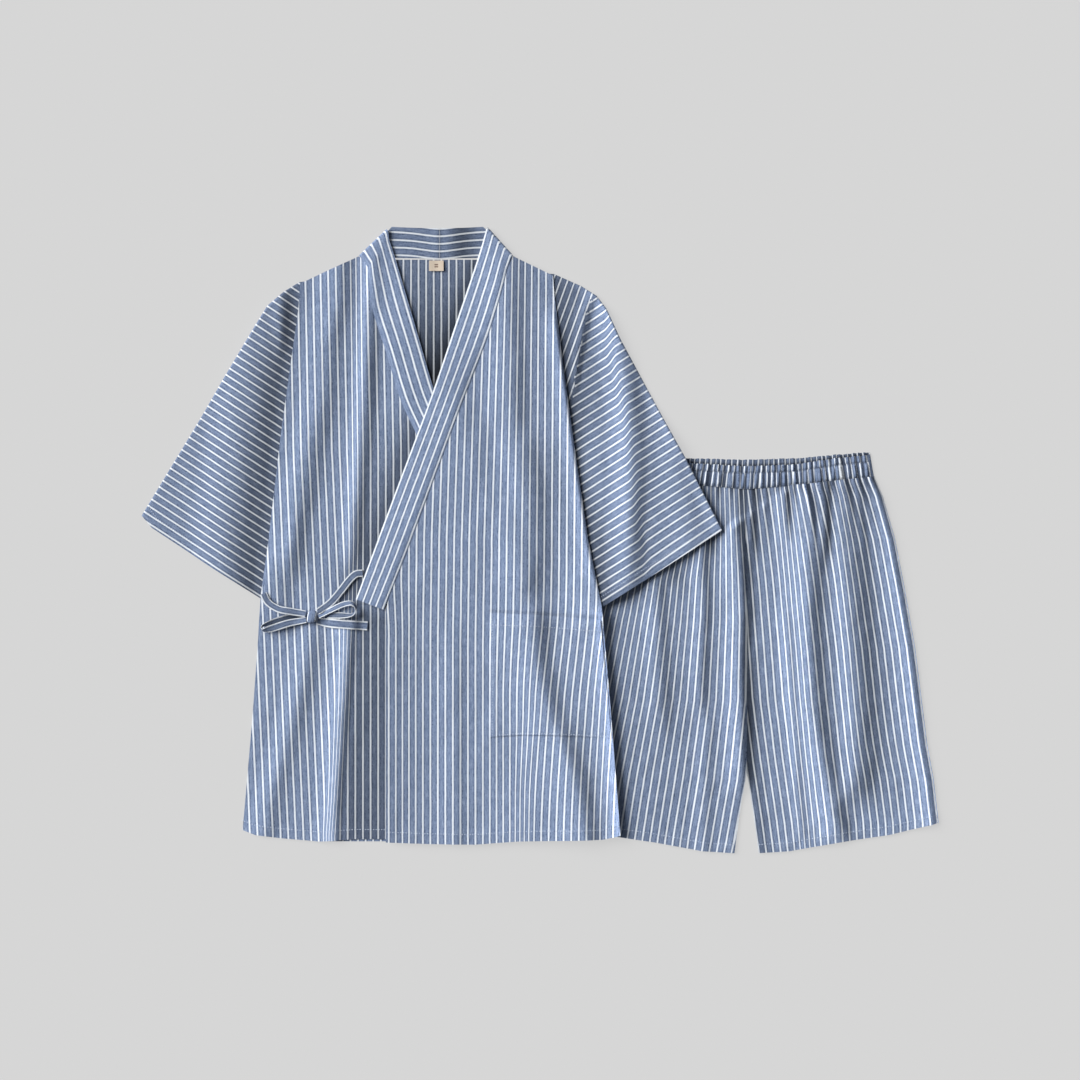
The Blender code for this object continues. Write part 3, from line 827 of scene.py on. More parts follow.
@dataclass(frozen=True)
class Lay:
    """The outline of the whole layout, the height of every layer in it and the painted shade and highlights on it."""

    centre_back: float = -124
    underarm: float = -84
    tuck: float = 16
    overlap_slack: float = 1.0
    sleeve_slack: float = 0.4
    shorts_stack: float = 8.6
    shorts_top: float = 104
    lift_out: float = 80
    lift_in: float = 16
    shorts_hidden: Edge = ((96, 77), (16, -345))
    side_left: Edge = (
        (-296, 316), (-298, 284), (-308, 214), (-320, 127), (-335, -2), (-344, -66), (-355, -220),
        (-367, -358),
    )
    side_right: Edge = ((16, 326), (18, 299), (28, 217), (42, 117), (59, 1), (76, -82), (86, -198), (99, -364))
    under_folds: Sequence[Fold] = (
        Fold(((-250, 400), (-254, 296), (-265, 235), (-272, 173), (-285, 111), (-298, 49), (-309, -12),
              (-316, -60)), 30, 24, 3.6, dark=0.24, light=0.32),
        Fold(((-208, 400), (-211, 296), (-216, 235), (-218, 173), (-224, 111), (-229, 49), (-234, -12),
              (-236, -50)), 18, 18, 3.6, dark=0.36, light=0.36),
        Fold(((-236, -60), (-238, -136), (-243, -198), (-248, -259), (-253, -321), (-258, -460)),
             30, 13, 5.6, dark=0.12, light=0.36),
        Fold(((-283, -90), (-289, -136), (-300, -198), (-317, -259), (-335, -321), (-350, -400)),
             26, 22, 2.8, dark=0.18, light=0.18),
        Fold(((-322, 60), (-334, -80)), 10, 16, 1.2),
    )
    under_pinch: Edge = ((-225, 400), (-227, 111), (-229, 0), (-239, -136), (-243, -198), (-255, -321), (-260, -364))
    over_folds: Sequence[Fold] = (
        Fold(((-42, 400), (-40, 259), (-40, 173), (-35, 111)), 37, 28, 4.0, dark=0.24, light=0.04),
        Fold(((-38, 150), (-33, 111), (-20, 49), (-20, -25), (-24, -95)), 44, 40, 5.0, dark=0.28, light=0.12),
        Fold(((14, 300), (25, 217), (39, 117), (56, 1), (73, -82)), 22, 5, 4.4, light=0.30),
        Fold(((-105, -80), (-105, -460)), 30, 14, 1.8, dark=0.05),
        Fold(((-12, -60), (-8, -148), (12, -222), (38, -290), (50, -340), (58, -460)), 64, 26, 6.0, dark=0.28,
             light=0.18),
        Fold(((76, -60), (83, -170), (89, -240), (98, -350), (100, -460)), 34, 5, 3.4, light=0.34),
    )
    right_sleeve_folds: Sequence[Fold] = (
        Fold(((-344, 330), (-350, 260), (-364, 197), (-373, 136), (-382, 74), (-389, 25), (-400, -110)),
             50, 52, 7.5, light=-0.05),
        Fold(((-322, 330), (-320, 270), (-314, 200)), 16, 17, 2.6, dark=0.52, light=0.34),
    )
    left_sleeve_folds: Sequence[Fold] = (
        Fold(((80, 330), (62, 292), (57, 280), (37, 162), (32, 96)), 16, 5, 4.4),
        Fold(((84, 330), (92, 259), (104, 197), (109, 136), (111, 74), (107, 12), (106, -100)), 30, 26, 6.0,
             dark=0.24, light=0.28),
        Fold(((150, 200), (196, -70)), 30, 24, 1.8),
    )
    left_outer: Edge = (
        (0, 329), (17, 328), (51, 313), (70, 301), (82, 285), (99, 248), (153, 148), (179, 101), (224, 12),
    )
    step_path: Edge = ((92, 330), (94, 232), (104, 190), (114, 146), (128, 31), (146, -70))
    shorts_folds: Sequence[Fold] = (
        Fold(((236, 120), (241, 25), (245, -25), (248, -86), (245, -148), (247, -210), (248, -330)),
             24, 16, 7.0, dark=0.52, light=0.12),
        Fold(((196, 60), (201, -86), (198, -148), (196, -230)), 16, 13, 3.4, dark=0.22),
        Fold(((136, -20), (144, -86), (146, -148), (150, -260)), 22, 18, 3.6, dark=0.18),
        Fold(((298, 120), (299, 40), (302, -10)), 12, 11, 3.6, dark=0.48),
        Fold(((326, 90), (329, -25), (328, -86), (331, -148), (334, -210), (345, -272), (358, -330), (370, -400)),
             42, 24, 7.0, dark=0.30, light=0.38),
        Fold(((298, -60), (305, -148), (310, -222), (318, -330), (328, -400)), 14, 11, 1.6, dark=0.10, light=0.20),
        Fold(((366, 110), (376, -25), (380, -86), (384, -148), (387, -210), (388, -272), (380, -346)),
             22, 34, 6.0, dark=0.40, light=0.08),
        Fold(((352, 120), (352, 30), (350, -30)), 12, 9, 3.6, dark=0.22),
        Fold(((418, 110), (434, 25), (447, -59), (460, -133), (475, -252), (483, -296), (489, -349), (494, -420)),
             40, 4, 5.0, light=0.36),
        Fold(((259, 120), (258, 30), (261, -40)), 9, 11, 2.6, dark=0.56, light=0.10),
        Fold(((344, 120), (348, 20), (350, -50)), 10, 11, 2.2, dark=0.48),
        Fold(((386, 120), (392, 50), (403, -40)), 9, 10, 1.6, light=0.36),
        Fold(((206, -190), (198, -460)), 18, 16, 2.0, light=0.06),
    )
    body_rumple: Rumple = Rumple(0.32, 90, 16, 11)
    shorts_rumple: Rumple = Rumple(0.38, 80, 14, 5)

    def lift(self, x: np.ndarray, y: np.ndarray) -> np.ndarray:
        """How far the shorts hold the jacket up."""
        low = self.shorts_hidden[-1][1]
        inside = x - x_on(self.shorts_hidden, y) - (low - np.minimum(y, low)) * 0.2
        share = smooth(inside, -self.lift_out, self.lift_in)
        return self.shorts_stack * share * smooth(self.shorts_top - y, -self.lift_out, self.lift_in)

    def outside(self, x: np.ndarray, y: np.ndarray) -> np.ndarray:
        """Distance outside the body's nearer side edge, less than 0 on the body."""
        left = x_on(self.side_left, y) - x
        right = x - x_on(self.side_right, y)
        return np.where(x < self.centre_back, left, right)

    def tuck_raise(self, x: np.ndarray, y: np.ndarray) -> np.ndarray:
        """The fronts lie over both layers of the sleeve near the armhole."""
        near = 1 - smooth(-self.outside(x, y), self.tuck + 3, self.tuck + 32)
        high = 2 * LAYER + self.sleeve_slack
        return high * near * smooth(y, self.underarm - 40, self.underarm - 14)

    def overlap_raise(self, x: np.ndarray, y: np.ndarray) -> np.ndarray:
        """The upper front lies over the lower front and its collar."""
        hidden = np.where(y > self.underarm, -131 + (186 - np.minimum(y, 186)) * 100 / 270, -31)
        under = 1 - smooth(x - hidden, 14, 54)
        return (2 * LAYER + self.overlap_slack) * under * (1 - smooth(y, 190, 270))

    def cover(self, x: np.ndarray, y: np.ndarray) -> np.ndarray:
        """1 where the lower front is hidden by the upper one, 0 a little before it."""
        edge = np.where(y > -80, -131 - (186 - np.maximum(y, -80)) * 0.37, -190)
        return smooth(x - edge, -24, -7)

    def side_roll(self, x: np.ndarray, y: np.ndarray) -> np.ndarray:
        """How far a front sinks towards its side seam below the armhole."""
        near = 1 - smooth(-self.outside(x, y), 0, 7)
        return 0.35 * near * near * (1 - smooth(y, self.underarm - 30, self.underarm))

    def back(self, x: np.ndarray, y: np.ndarray) -> np.ndarray:
        """Underside of the jacket's back."""
        return self.lift(x, y)

    def sleeve_back(self, x: np.ndarray, y: np.ndarray) -> np.ndarray:
        """Underside of a sleeve's lower layer."""
        share = 1 - smooth(self.outside(x, y), 14, 46)
        return self.lift(x, y) + (LAYER + self.sleeve_slack) * share

    def sleeve_front(self, folds: Sequence[Fold]) -> Height:
        """Underside of a sleeve's upper layer with its folds.

        Args:
            folds: The sleeve's folds.

        Returns:
            The height as a function of place.
        """
        def height(x: np.ndarray, y: np.ndarray) -> np.ndarray:
            """Height at a place."""
            clear = smooth(self.outside(x, y), 2, 18)
            rumple = self.body_rumple.raised(x + y * 0.4, y) * clear
            return self.sleeve_back(x, y) + LAYER + folded(folds, x, y) * clear + rumple
        return height

    def under_painted_light(self, x: np.ndarray, y: np.ndarray) -> np.ndarray:
        """Painted shade on the lower front: in its valleys, next to the front that covers it, under the bow and at
        the armhole; painted highlights on its fold crests.
        """
        edge = np.where(y > -80, -131 - (186 - np.maximum(y, -80)) * 0.37, -190)
        to_edge = np.maximum(edge - x, 0)
        # painted shadow next to the covering front, painted shade in the gully right of the long ridge, painted
        # shadow under the bow and painted shade at the armhole
        near = 0.64 * np.exp(-(to_edge / 29) ** 2) * smooth(y, -110, -60) * (1 - smooth(y, 150, 260))
        gully = 0.56 * smooth(x - x_on(self.under_folds[2].path, y), 7, 20) * (1 - smooth(y, -104, -76))
        bow = 0.34 * np.exp(-((x + 302) / 34) ** 2 - ((y + 100) / 7) ** 2)
        bow = np.maximum(bow, 0.24 * np.exp(-((x + 250) / 16) ** 2 - ((y + 94) / 9) ** 2))
        armhole = 0.22 * np.exp(-((x - x_on(self.side_left, y)) / 7) ** 2) * smooth(y, 120, 260)
        dim = (1 - near) * (1 - gully) * (1 - armhole) * (1 - bow)
        return 1 - (1 - shaded(self.under_folds, x, y)) * dim

    def over_painted_light(self, x: np.ndarray, y: np.ndarray) -> np.ndarray:
        """Painted shade on the upper front: low down near its inner edge, beside its side seam, just under the
        collar's end and in its folds; painted highlights along its side edge low down and on its fold crests.
        """
        # painted shade low down near the inner edge, beside the side seam and under the collar's end; a painted
        # highlight along the side edge low down
        rim = 0.16 * (1 - smooth(x, -170, -110)) * (1 - smooth(y, -80, -20))
        side = x_on(self.side_right, y) - x
        pleat = 0.14 * np.exp(-((side - 26) / 18) ** 2) * smooth(y, -60, 40)
        rolled = 0.70 * np.exp(-(side / 10) ** 2) * (1 - smooth(y, -100, -70))
        below = -84 - (x + 228) * 0.36 - y
        lapel = 0.55 * smooth(below, -2, 0.5) * np.exp(-(np.maximum(below, 0) / 4) ** 2)
        lapel = lapel * (1 - smooth(x, -196, -188))
        dim = (1 - rim) * (1 - pleat) * (1 - lapel) * (1 + rolled)
        return 1 - (1 - shaded(self.over_folds, x, y)) * dim

    def pocket_painted_light(self, x: np.ndarray, y: np.ndarray) -> np.ndarray:
        """The upper front's painted shade, with a painted shadow line just over the pocket's opening."""
        over = y + 90.5 + (x + 6) * 0.06
        line = 0.26 * np.exp(-(np.maximum(over, 0) / 2.4) ** 2) * smooth(x, -64, -60)
        return 1 - (1 - self.over_painted_light(x, y)) * (1 - line * smooth(over, -6, 0))

    def right_sleeve_painted_light(self, x: np.ndarray, y: np.ndarray) -> np.ndarray:
        """Painted shade on the sleeve's underarm side right of its long crest, which falls away from the light, a
        little painted shade all over and the folds' painted shade.
        """
        crest = x_on(self.right_sleeve_folds[0].path, y)
        far = 0.56 * smooth(x - crest, 0, 36) * (1 - 0.4 * smooth(y, 200, 290))
        far = 1 - (1 - far) * 0.90
        return 1 - (1 - shaded(self.right_sleeve_folds, x, y)) * (1 - far)

    def left_sleeve_painted_light(self, x: np.ndarray, y: np.ndarray) -> np.ndarray:
        """Painted shade at the armhole, most of all under the shoulder, a painted highlight along the outer fold, a
        little painted shade all over and the folds' painted shade.
        """
        out = np.maximum(self.outside(x, y), 0)
        reach = 15 + 13 * smooth(y, 90, 180) + 11 * (1 - smooth(y, -10, 70))
        root = 0.60 * np.exp(-(out / reach) ** 2)
        to_fold = x_on(self.left_outer, y) - x
        # painted highlight along the sleeve's outer fold
        cuff = -0.22 * np.exp(-(to_fold / 10) ** 2)
        return 1 - (1 - shaded(self.left_sleeve_folds, x, y)) * (1 - root) * (1 - cuff) * 0.96

    def front_under(self, x: np.ndarray, y: np.ndarray) -> np.ndarray:
        """Underside of the lower front."""
        open_cloth = 1 - self.cover(x, y)
        folds = (folded(self.under_folds, x, y) + self.body_rumple.raised(x, y)) * open_cloth
        return self.lift(x, y) + LAYER + self.tuck_raise(x, y) + folds - self.side_roll(x, y)

    def front_over(self, x: np.ndarray, y: np.ndarray) -> np.ndarray:
        """Underside of the upper front."""
        folds = folded(self.over_folds, x, y) + self.body_rumple.raised(x, y)
        base = self.lift(x, y) + LAYER + self.tuck_raise(x, y) + self.overlap_raise(x, y)
        return base + folds - self.side_roll(x, y)


# ---------------------------------------------------------------- jacket


@dataclass
class Jacket:
    """The wrap jacket: back, two crossing fronts, sleeves, collar, pocket and neck label."""

    lay: Lay
    cotton: bpy.types.Material
    thread: bpy.types.Material
    tape: bpy.types.Material
    grain: float = 2.6  # distance between points of a panel that shows
    coarse: float = 7.0  # and of one that hardly shows
    neck_seam: float = 346
    shoulder_left: Edge = ((-296, 316), (-224, 350))
    shoulder_right: Edge = ((-33, 350), (16, 326))
    hem_left: Edge = ((-367, -358), (-351, -364), (-320, -368), (-273, -372), (-225, -369))
    hem_right: Edge = ((-190, -372), (-136, -374), (-80, -375), (-27, -371), (77, -369), (99, -364))
    under_inner: Edge = (
        (-212, 344), (-198, 290), (-163, 176), (-140, 124), (-104, 30), (-63, -75), (-63, -370),
    )
    over_inner: Edge = (
        (-44, 344), (-58, 306), (-76, 252), (-105, 177), (-129, 112), (-153, 47), (-176, -17),
        (-190, -88), (-190, -373),
    )
    hem_deep: float = 12.5
    hem_rise: float = 0.42
    under_line: float = -190.3  # an upright white line of each front that stays straight
    over_line: float = -142.9
    over_repeat: float = 9.26
    back_line: float = -168.6
    back_repeat: float = 9.35
    collar_wide: float = 40
    collar_repeats: tuple = (9.8, 9.3)  # right and left half
    collar_starts: tuple = (3.4, 1.0)
    collar_fold_right: tuple = (-187.5, 381.5, -221.5, 349)
    collar_right_rows: tuple = (
        (-186, 370, -212, 336), (-177, 342, -210, 312), (-164, 298, -206, 282), (-149, 247, -191, 235),
        (-131, 186, -172, 173), (-112, 136, -149, 122), (-75, 42, -112, 28), (-36, -60, -71, -73),
    )
    collar_fold_left: tuple = (-66.5, 383.5, -35.5, 349)
    collar_left_rows: tuple = (
        (-71, 366, -41, 334), (-82, 332, -49, 302), (-104, 267, -66, 248), (-131, 186, -95, 173),
        (-155, 121, -119, 108), (-179, 57, -143, 43), (-203, -8, -167, -21), (-227, -73, -193, -86),
    )
    collar_inner: Edge = ((-71, 366), (-82, 332), (-104, 267), (-131, 186))
    collar_top: float = 385
    collar_top_rise: float = 2
    pocket_top: Edge = ((-61, -90), (-6, -92), (74, -98))
    pocket_low: Edge = ((-61, -243), (-20, -240), (10, -240), (88, -244))
    pocket_hem: float = 15
    left_fold: Edge = (
        (-280, 320), (-297, 318), (-316, 306), (-336, 289), (-352, 263), (-391, 198), (-420, 148),
        (-491.5, 30),
    )
    left_cuff: Edge = ((-491.5, 30), (-479, 15), (-411, -30), (-329, -82))
    left_tuck: Edge = ((-280, 320), (-282, 284), (-292, 214), (-304, 127), (-319, -2), (-326, -58))
    left_under: Edge = ((-326, -58), (-329, -82))
    right_fold: Edge = (
        (0, 329), (17, 328), (51, 313), (70, 301), (82, 285), (99, 248), (153, 148), (179, 101), (224, 12),
    )
    right_cuff: Edge = ((224, 12), (151, -36), (60, -93))
    right_tuck: Edge = ((0, 329), (2, 299), (12, 217), (26, 117), (43, 1), (56, -66))
    right_under: Edge = ((56, -66), (60, -93))
    label_wide: float = 18
    label_deep: float = 13
    label_x: float = -128

    def hem_raise(self, edge: Edge, x: np.ndarray, y: np.ndarray) -> np.ndarray:
        """The turned-up hem, a second layer with puckers along its stitches.

        Args:
            edge: The hem's line.
            x: Places across.
            y: Places up.

        Returns:
            What the hem adds to the height.
        """
        points = np.array(edge, float)
        up = y - np.interp(x, points[:, 0], points[:, 1])
        step = 1 - smooth(up, self.hem_deep, self.hem_deep + 1.6)
        pucker = 0.16 * np.sin(x * 0.83 + 2.1 * np.sin(x * 0.17)) * np.exp(-((up - self.hem_deep) / 5) ** 2)
        return self.hem_rise * step + pucker

    def panel(self, name: str, patch: Patch, height: Height, columns: int, rows: int, weave_of: Callable,
              shade_of: Callable | None = None) -> bpy.types.Object:
        """A panel of cloth between four edges.

        Args:
            name: The piece's name.
            patch: Its edges.
            height: Its underside in the frame.
            columns: Steps across.
            rows: Steps down.
            weave_of: The weave at places.
            shade_of: How much painted shade darkens places, or None.

        Returns:
            The piece.
        """
        x, y = patch.grid(patch.marks(columns, patch.top, patch.low), patch.marks(rows, patch.left, patch.right))
        points = np.stack([x, y, height(x, y) + WALL / 2], -1)
        shade = None if shade_of is None else shade_of(x, y)
        return shell(name, points, weave_of(x, y), self.cotton, shade=shade)

    def back(self) -> None:
        """The back, seen inside the neck."""
        top = ((-296, 316), (-224, 349), (-176, self.neck_seam), (-76, self.neck_seam), (-33, 349), (16, 326))
        low = (*self.hem_left[:4], *self.hem_right)
        patch = Patch(top, low, self.lay.side_left, self.lay.side_right)

        def weave(x: np.ndarray, y: np.ndarray) -> Weave:
            """Upright lines."""
            return Weave((x - self.back_line) / self.back_repeat, y)

        def shade(x: np.ndarray, y: np.ndarray) -> np.ndarray:
            """Painted shade on the inside, most of all where the fronts close over it and beside the collar's inner
            edge, fading out towards the hem.
            """
            lapel = 0.58 * np.exp(-((x - x_on(self.collar_inner, y)) / 13) ** 2)
            deep = 0.40 + 0.53 * (1 - smooth(y, 185, 335))
            return 1 - (1 - deep * smooth(y, -340, -200)) * (1 - lapel)

        piece = self.panel("back_cloth", patch, self.lay.back, 150, 130, weave, shade)
        hand_over(piece, ["jacket_back"])

    def front_under(self) -> None:
        """The wearer's right front, the lower one of the overlap."""
        top = (*self.shoulder_left, (-212, 344))
        low = (*self.hem_left, (-63, -370))
        patch = Patch(top, low, self.lay.side_left, self.under_inner)

        def height(x: np.ndarray, y: np.ndarray) -> np.ndarray:
            """The front with its hem."""
            hem = self.hem_raise(low, x, y) * (1 - self.lay.cover(x, y))
            return self.lay.front_under(x, y) + hem

        def weave(x: np.ndarray, y: np.ndarray) -> Weave:
            """Upright lines, closer where the long ridge swallows more and more cloth."""
            spare = 8.6 + 0.045 * np.maximum(111 - y, 0)
            lean = 0.02 * np.maximum(y - 111, 0)
            past = pinched(self.lay.under_pinch, 12, x, y) - 1
            return Weave((x - self.under_line + lean + spare * past) / REPEAT, y)

        piece = self.panel("front_right_cloth", patch, height, 112, 276, weave, self.lay.under_painted_light)
        hand_over(piece, ["jacket_front_right"])
        hem = [(x, y + self.hem_deep - 0.6) for x, y in self.hem_left] + [(-192, -370 + self.hem_deep)]
        line = on_surface(height, hem, WALL / 2 + CLOTH / 2)
        stitches = StitchRow().sew("hem_stitches_front_right", [line], self.thread)
        hand_over(stitches, [])

    def front_over(self) -> None:
        """The wearer's left front, the upper one of the overlap, with its pocket."""
        patch = Patch((( -44, 344), *self.shoulder_right), self.hem_right, self.over_inner, self.lay.side_right)

        def height(x: np.ndarray, y: np.ndarray) -> np.ndarray:
            """The front with its hem and the turned edge of the overlap."""
            edge = self.hem_rise * (1 - smooth(x, -190 + 14, -190 + 16)) * smooth(-y, 90, 110)
            return self.lay.front_over(x, y) + np.maximum(self.hem_raise(self.hem_right, x, y), edge)

        painted_light = self.lay.pocket_painted_light
        piece = self.panel("front_left_cloth", patch, height, 112, 280, self.over_weave, painted_light)
        hand_over(piece, ["jacket_front_left"])
        hem = [(x, y + self.hem_deep - 0.6) for x, y in self.hem_right]
        hem[0] = (-188, hem[0][1])
        hem[-1] = (97, hem[-1][1])
        line = on_surface(height, hem, WALL / 2 + CLOTH / 2)
        stitches = StitchRow(seed=9).sew("hem_stitches_front_left", [line], self.thread)
        hand_over(stitches, [])
        self.pocket()

    def over_weave(self, x: np.ndarray, y: np.ndarray) -> Weave:
        """Upright lines of the upper front and its pocket, closer where cloth is swallowed.

        Args:
            x: Places across.
            y: Places up.

        Returns:
            The weave.
        """
        high = np.maximum(y, 0) / 235
        line = self.over_line - 1.5 * smooth(-y, 0, 140) + 7.2 * high
        narrow = 4.3 * (smooth(x, -188, -145) - 1) * smooth(-y, 40, 120)
        upper = 5.6 * high * smooth(x, -68, 6)
        middle = -12 - 8 * smooth(-y, 200, 320)
        lower = 16.5 * smooth(-y, 60, 380) * smooth(x, middle - 18, middle + 16)
        pocket = 4.5 * smooth(-y, 80, 200) * smooth(x, -75, -25)
        side = 4.0 * smooth(-y, 100, 180) * smooth(x, 62, 88)
        return Weave((x - line + narrow + upper + lower + pocket + side) / self.over_repeat, y)

    def pocket(self) -> None:
        """The patch pocket, its opening a little slack."""
        patch = Patch(self.pocket_top, self.pocket_low, (self.pocket_top[0], self.pocket_low[0]),
                      (self.pocket_top[-1], self.pocket_low[-1]))
        top = np.array(self.pocket_top, float)

        def height(x: np.ndarray, y: np.ndarray) -> np.ndarray:
            """Over the front, with a hem at the opening and edges turned in."""
            down = np.interp(x, top[:, 0], top[:, 1]) - y
            hem = 0.5 * (1 - smooth(down, self.pocket_hem, self.pocket_hem + 1.6))
            inside = np.minimum(x + 61, 81 - x)
            slack = 1.3 * (1 - smooth(down, 0, 40)) * smooth(inside, 4, 40)
            pucker = 0.15 * np.sin(x * 0.9 + np.sin(x * 0.21)) * np.exp(-((down - self.pocket_hem) / 5) ** 2)
            border = np.minimum(inside, np.minimum(y + 244, 90))
            sunk = 0.85 * (1 - smooth(border, 0, 5))
            return self.lay.front_over(x, y) + LAYER + hem + slack + pucker - sunk

        piece = self.panel("pocket_cloth", patch, height, 76, 78, self.over_weave, self.lay.over_painted_light)
        hand_over(piece, ["pocket"])
        over = WALL / 2 + CLOTH / 2
        (left, high), *_ = self.pocket_top
        low = self.pocket_low
        opening = [(x, y - self.pocket_hem + 0.6) for x, y in self.pocket_top]
        outline = [(left + 2, high - 1), (left + 2, low[0][1] + 2)]
        outline += [(x, y + 2) for x, y in low[1:]]
        rows = [on_surface(height, opening, over), on_surface(height, outline, over)]
        stitches = StitchRow(seed=4).sew("pocket_stitches", rows, self.thread)
        hand_over(stitches, [])

    def sleeve(self, side: str) -> None:
        """A sleeve: a wide tube of cloth laid flat, its root tucked under the front.

        Args:
            side: The wearer's side.
        """
        if side == "right":
            patch = Patch(self.left_tuck, self.left_cuff, self.left_fold, self.left_under)
            folds = self.lay.right_sleeve_folds
            painted_light = self.lay.right_sleeve_painted_light
            slope = math.radians(-33.0)
            repeat = 8.95
        else:
            patch = Patch(self.right_tuck, self.right_cuff, self.right_fold, self.right_under)
            folds = self.lay.left_sleeve_folds
            painted_light = self.lay.left_sleeve_painted_light
            slope = math.radians(32.6)
            repeat = 9.63
        across = patch.marks(88, patch.top, patch.low, roll=0.012)
        down = patch.marks(84, patch.left, patch.right)
        x, y = patch.grid(across, down)
        cuff = np.array(patch.low, float)
        front = self.lay.sleeve_front(folds)
        high = front(x, y)
        low = self.lay.sleeve_back(x, y)
        start = x[:, :1], y[:, :1]
        end = x[:, -1:], y[:, -1:]
        near = np.minimum(np.hypot(x - start[0], y - start[1]), np.hypot(x - end[0], y - end[1]))
        roll = np.sqrt(1 - (1 - np.clip(near / 3.2, 0, 1)) ** 2)
        middle = (high + low) / 2
        to_cuff = np.interp(x, *(cuff.T if cuff[0, 0] < cuff[-1, 0] else cuff[::-1].T))
        up = (y - to_cuff) * math.cos(slope)
        hem = self.hem_rise * (1 - smooth(up, self.hem_deep, self.hem_deep + 1.6))
        top_z = middle + (high + hem - middle) * roll + WALL / 2
        low_z = middle + (low - middle) * roll + WALL / 2
        ring_x = np.concatenate([x, x[:, ::-1]], 1)
        ring_y = np.concatenate([y, y[:, ::-1]], 1)
        ring_z = np.concatenate([top_z + 0.02, low_z[:, ::-1] - 0.02], 1)
        points = np.stack([ring_x, ring_y, ring_z], -1)
        axis_x = math.cos(slope)
        axis_y = math.sin(slope)
        crosswise = -axis_y * (ring_x - cuff[0, 0]) + axis_x * (ring_y - cuff[0, 1])
        lengthwise = axis_x * ring_x + axis_y * ring_y
        taken = np.zeros_like(ring_x)
        if side == "left":
            past = ring_x - x_on(self.lay.step_path, ring_y)
            taken = -5.2 * smooth(past, -15, 0) * smooth(ring_y, -90, 40)
        weave = Weave((crosswise + taken) / repeat + 0.35, lengthwise)
        other = None
        if side == "left":
            other = self.head_pleat(ring_x, ring_y, folds[0], across.size)
        piece = shell(f"sleeve_{side}_cloth", points, weave, self.cotton, ring=True, shade=painted_light(ring_x, ring_y),
                      other=other)
        hand_over(piece, [f"sleeve_{side}"])
        inset = (axis_y * -self.hem_deep, axis_x * self.hem_deep)
        line = [(px + inset[0], py + inset[1]) for px, py in patch.low]
        ends = 2.5
        line[0] = (line[0][0] + ends * (1 if side == "right" else -1), line[0][1] - (ends if side == "left" else 0))
        line[-1] = (line[-1][0] - ends * (1 if side == "right" else -1) + 0.0, line[-1][1])

        def on_hem(px: np.ndarray, py: np.ndarray) -> np.ndarray:
            """The hem's upper layer."""
            return front(px, py) + self.hem_rise

        rows = [on_surface(on_hem, line, WALL / 2 + CLOTH / 2)]
        stitches = StitchRow(seed=12).sew(f"cuff_stitches_{side}", rows, self.thread)
        hand_over(stitches, [])

    @staticmethod
    def head_pleat(x: np.ndarray, y: np.ndarray, edge: Fold, columns: int) -> tuple[Weave, np.ndarray]:
        """The cloth behind the sleeve head's pleat, whose lines run nearly upright.

        Args:
            x: Places across.
            y: Places up.
            edge: The pleat's edge.
            columns: How many columns the upper layer has.

        Returns:
            Its weave and the faces that it holds on.
        """
        weave = Weave((x - 0.36 * y) / 9.0, y)
        ring_x = np.concatenate([x, x[:, :1]], 1)
        ring_y = np.concatenate([y, y[:, :1]], 1)
        centre_x = (ring_x[:-1, :-1] + ring_x[1:, 1:]) / 2
        centre_y = (ring_y[:-1, :-1] + ring_y[1:, 1:]) / 2
        mask = (centre_x < x_on(edge.path, centre_y)) & (centre_y > 120)
        mask[:, columns - 1:] = False
        return weave, mask

    def collar(self, side: str) -> None:
        """Half of the collar: from the centre back, over at the shoulder and down the front.

        Args:
            side: The wearer's side.
        """
        lower = side == "right"
        fold = self.collar_fold_right if lower else self.collar_fold_left
        rows = self.collar_right_rows if lower else self.collar_left_rows
        surface = self.lay.front_under if lower else self.lay.front_over
        middle = self.lay.centre_back + math.copysign(SEAM / 2, fold[0] - self.lay.centre_back)
        back_z = WALL / 2
        shares = np.linspace(0, 1, 15)[None, :, None]
        back_rows = []
        for share in np.linspace(0, 0.93, 22):
            free = (middle + (fold[0] - middle) * share, self.collar_top + self.collar_top_rise * share ** 2)
            seam = (middle + (fold[2] - middle) * share,
                    self.neck_seam + 1.5 + (fold[3] - self.neck_seam - 1.5) * share)
            back_rows.append((*free, back_z, *seam, back_z))
        fine = eased_rows(rows, 14)
        front_rows = []
        for free_x, free_y, seam_x, seam_y in fine:
            front_rows.append((free_x, free_y, 0.0, seam_x, seam_y, 0.0))
        table = np.array(front_rows)
        x = table[:, 0:1] + (table[:, 3:4] - table[:, 0:1]) * shares[0].T
        y = table[:, 1:2] + (table[:, 4:5] - table[:, 1:2]) * shares[0].T
        inner = shares[0].T
        anchor_x = x[:, -1:] + (x - x[:, -1:]) * 0.55
        anchor_y = y[:, -1:] + (y - y[:, -1:]) * 0.55
        lie = 0.5 * (surface(anchor_x, anchor_y) + surface(x, y)) + LAYER + WALL / 2
        crown = 0.55 * (1 - (2 * inner - 1) ** 6) - 0.2 - 0.9 * smooth(inner, 0.80, 1)
        front = np.stack([x, y, lie + crown], -1)
        top_z = float(front[0, :, 2].mean())
        radius = (top_z - back_z) / 2
        outward = np.array([fold[1] - fold[3], abs(fold[2] - fold[0]), 0.0])
        outward /= np.linalg.norm(outward)
        outward[0] = math.copysign(outward[0], fold[0] - self.lay.centre_back)
        turn_rows = []
        for turn in np.linspace(-90, 90, 11):
            angle = math.radians(turn)
            out = outward * radius * math.cos(angle) * 0.9
            z = back_z + radius * (1 + math.sin(angle))
            turn_rows.append((fold[0] + out[0], fold[1] + out[1], z, fold[2] + out[0], fold[3] + out[1], z))
        rolled = np.array(back_rows + turn_rows)
        head = rolled[:, None, :3] + (rolled[:, None, 3:] - rolled[:, None, :3]) * shares
        points = np.concatenate([head, front])
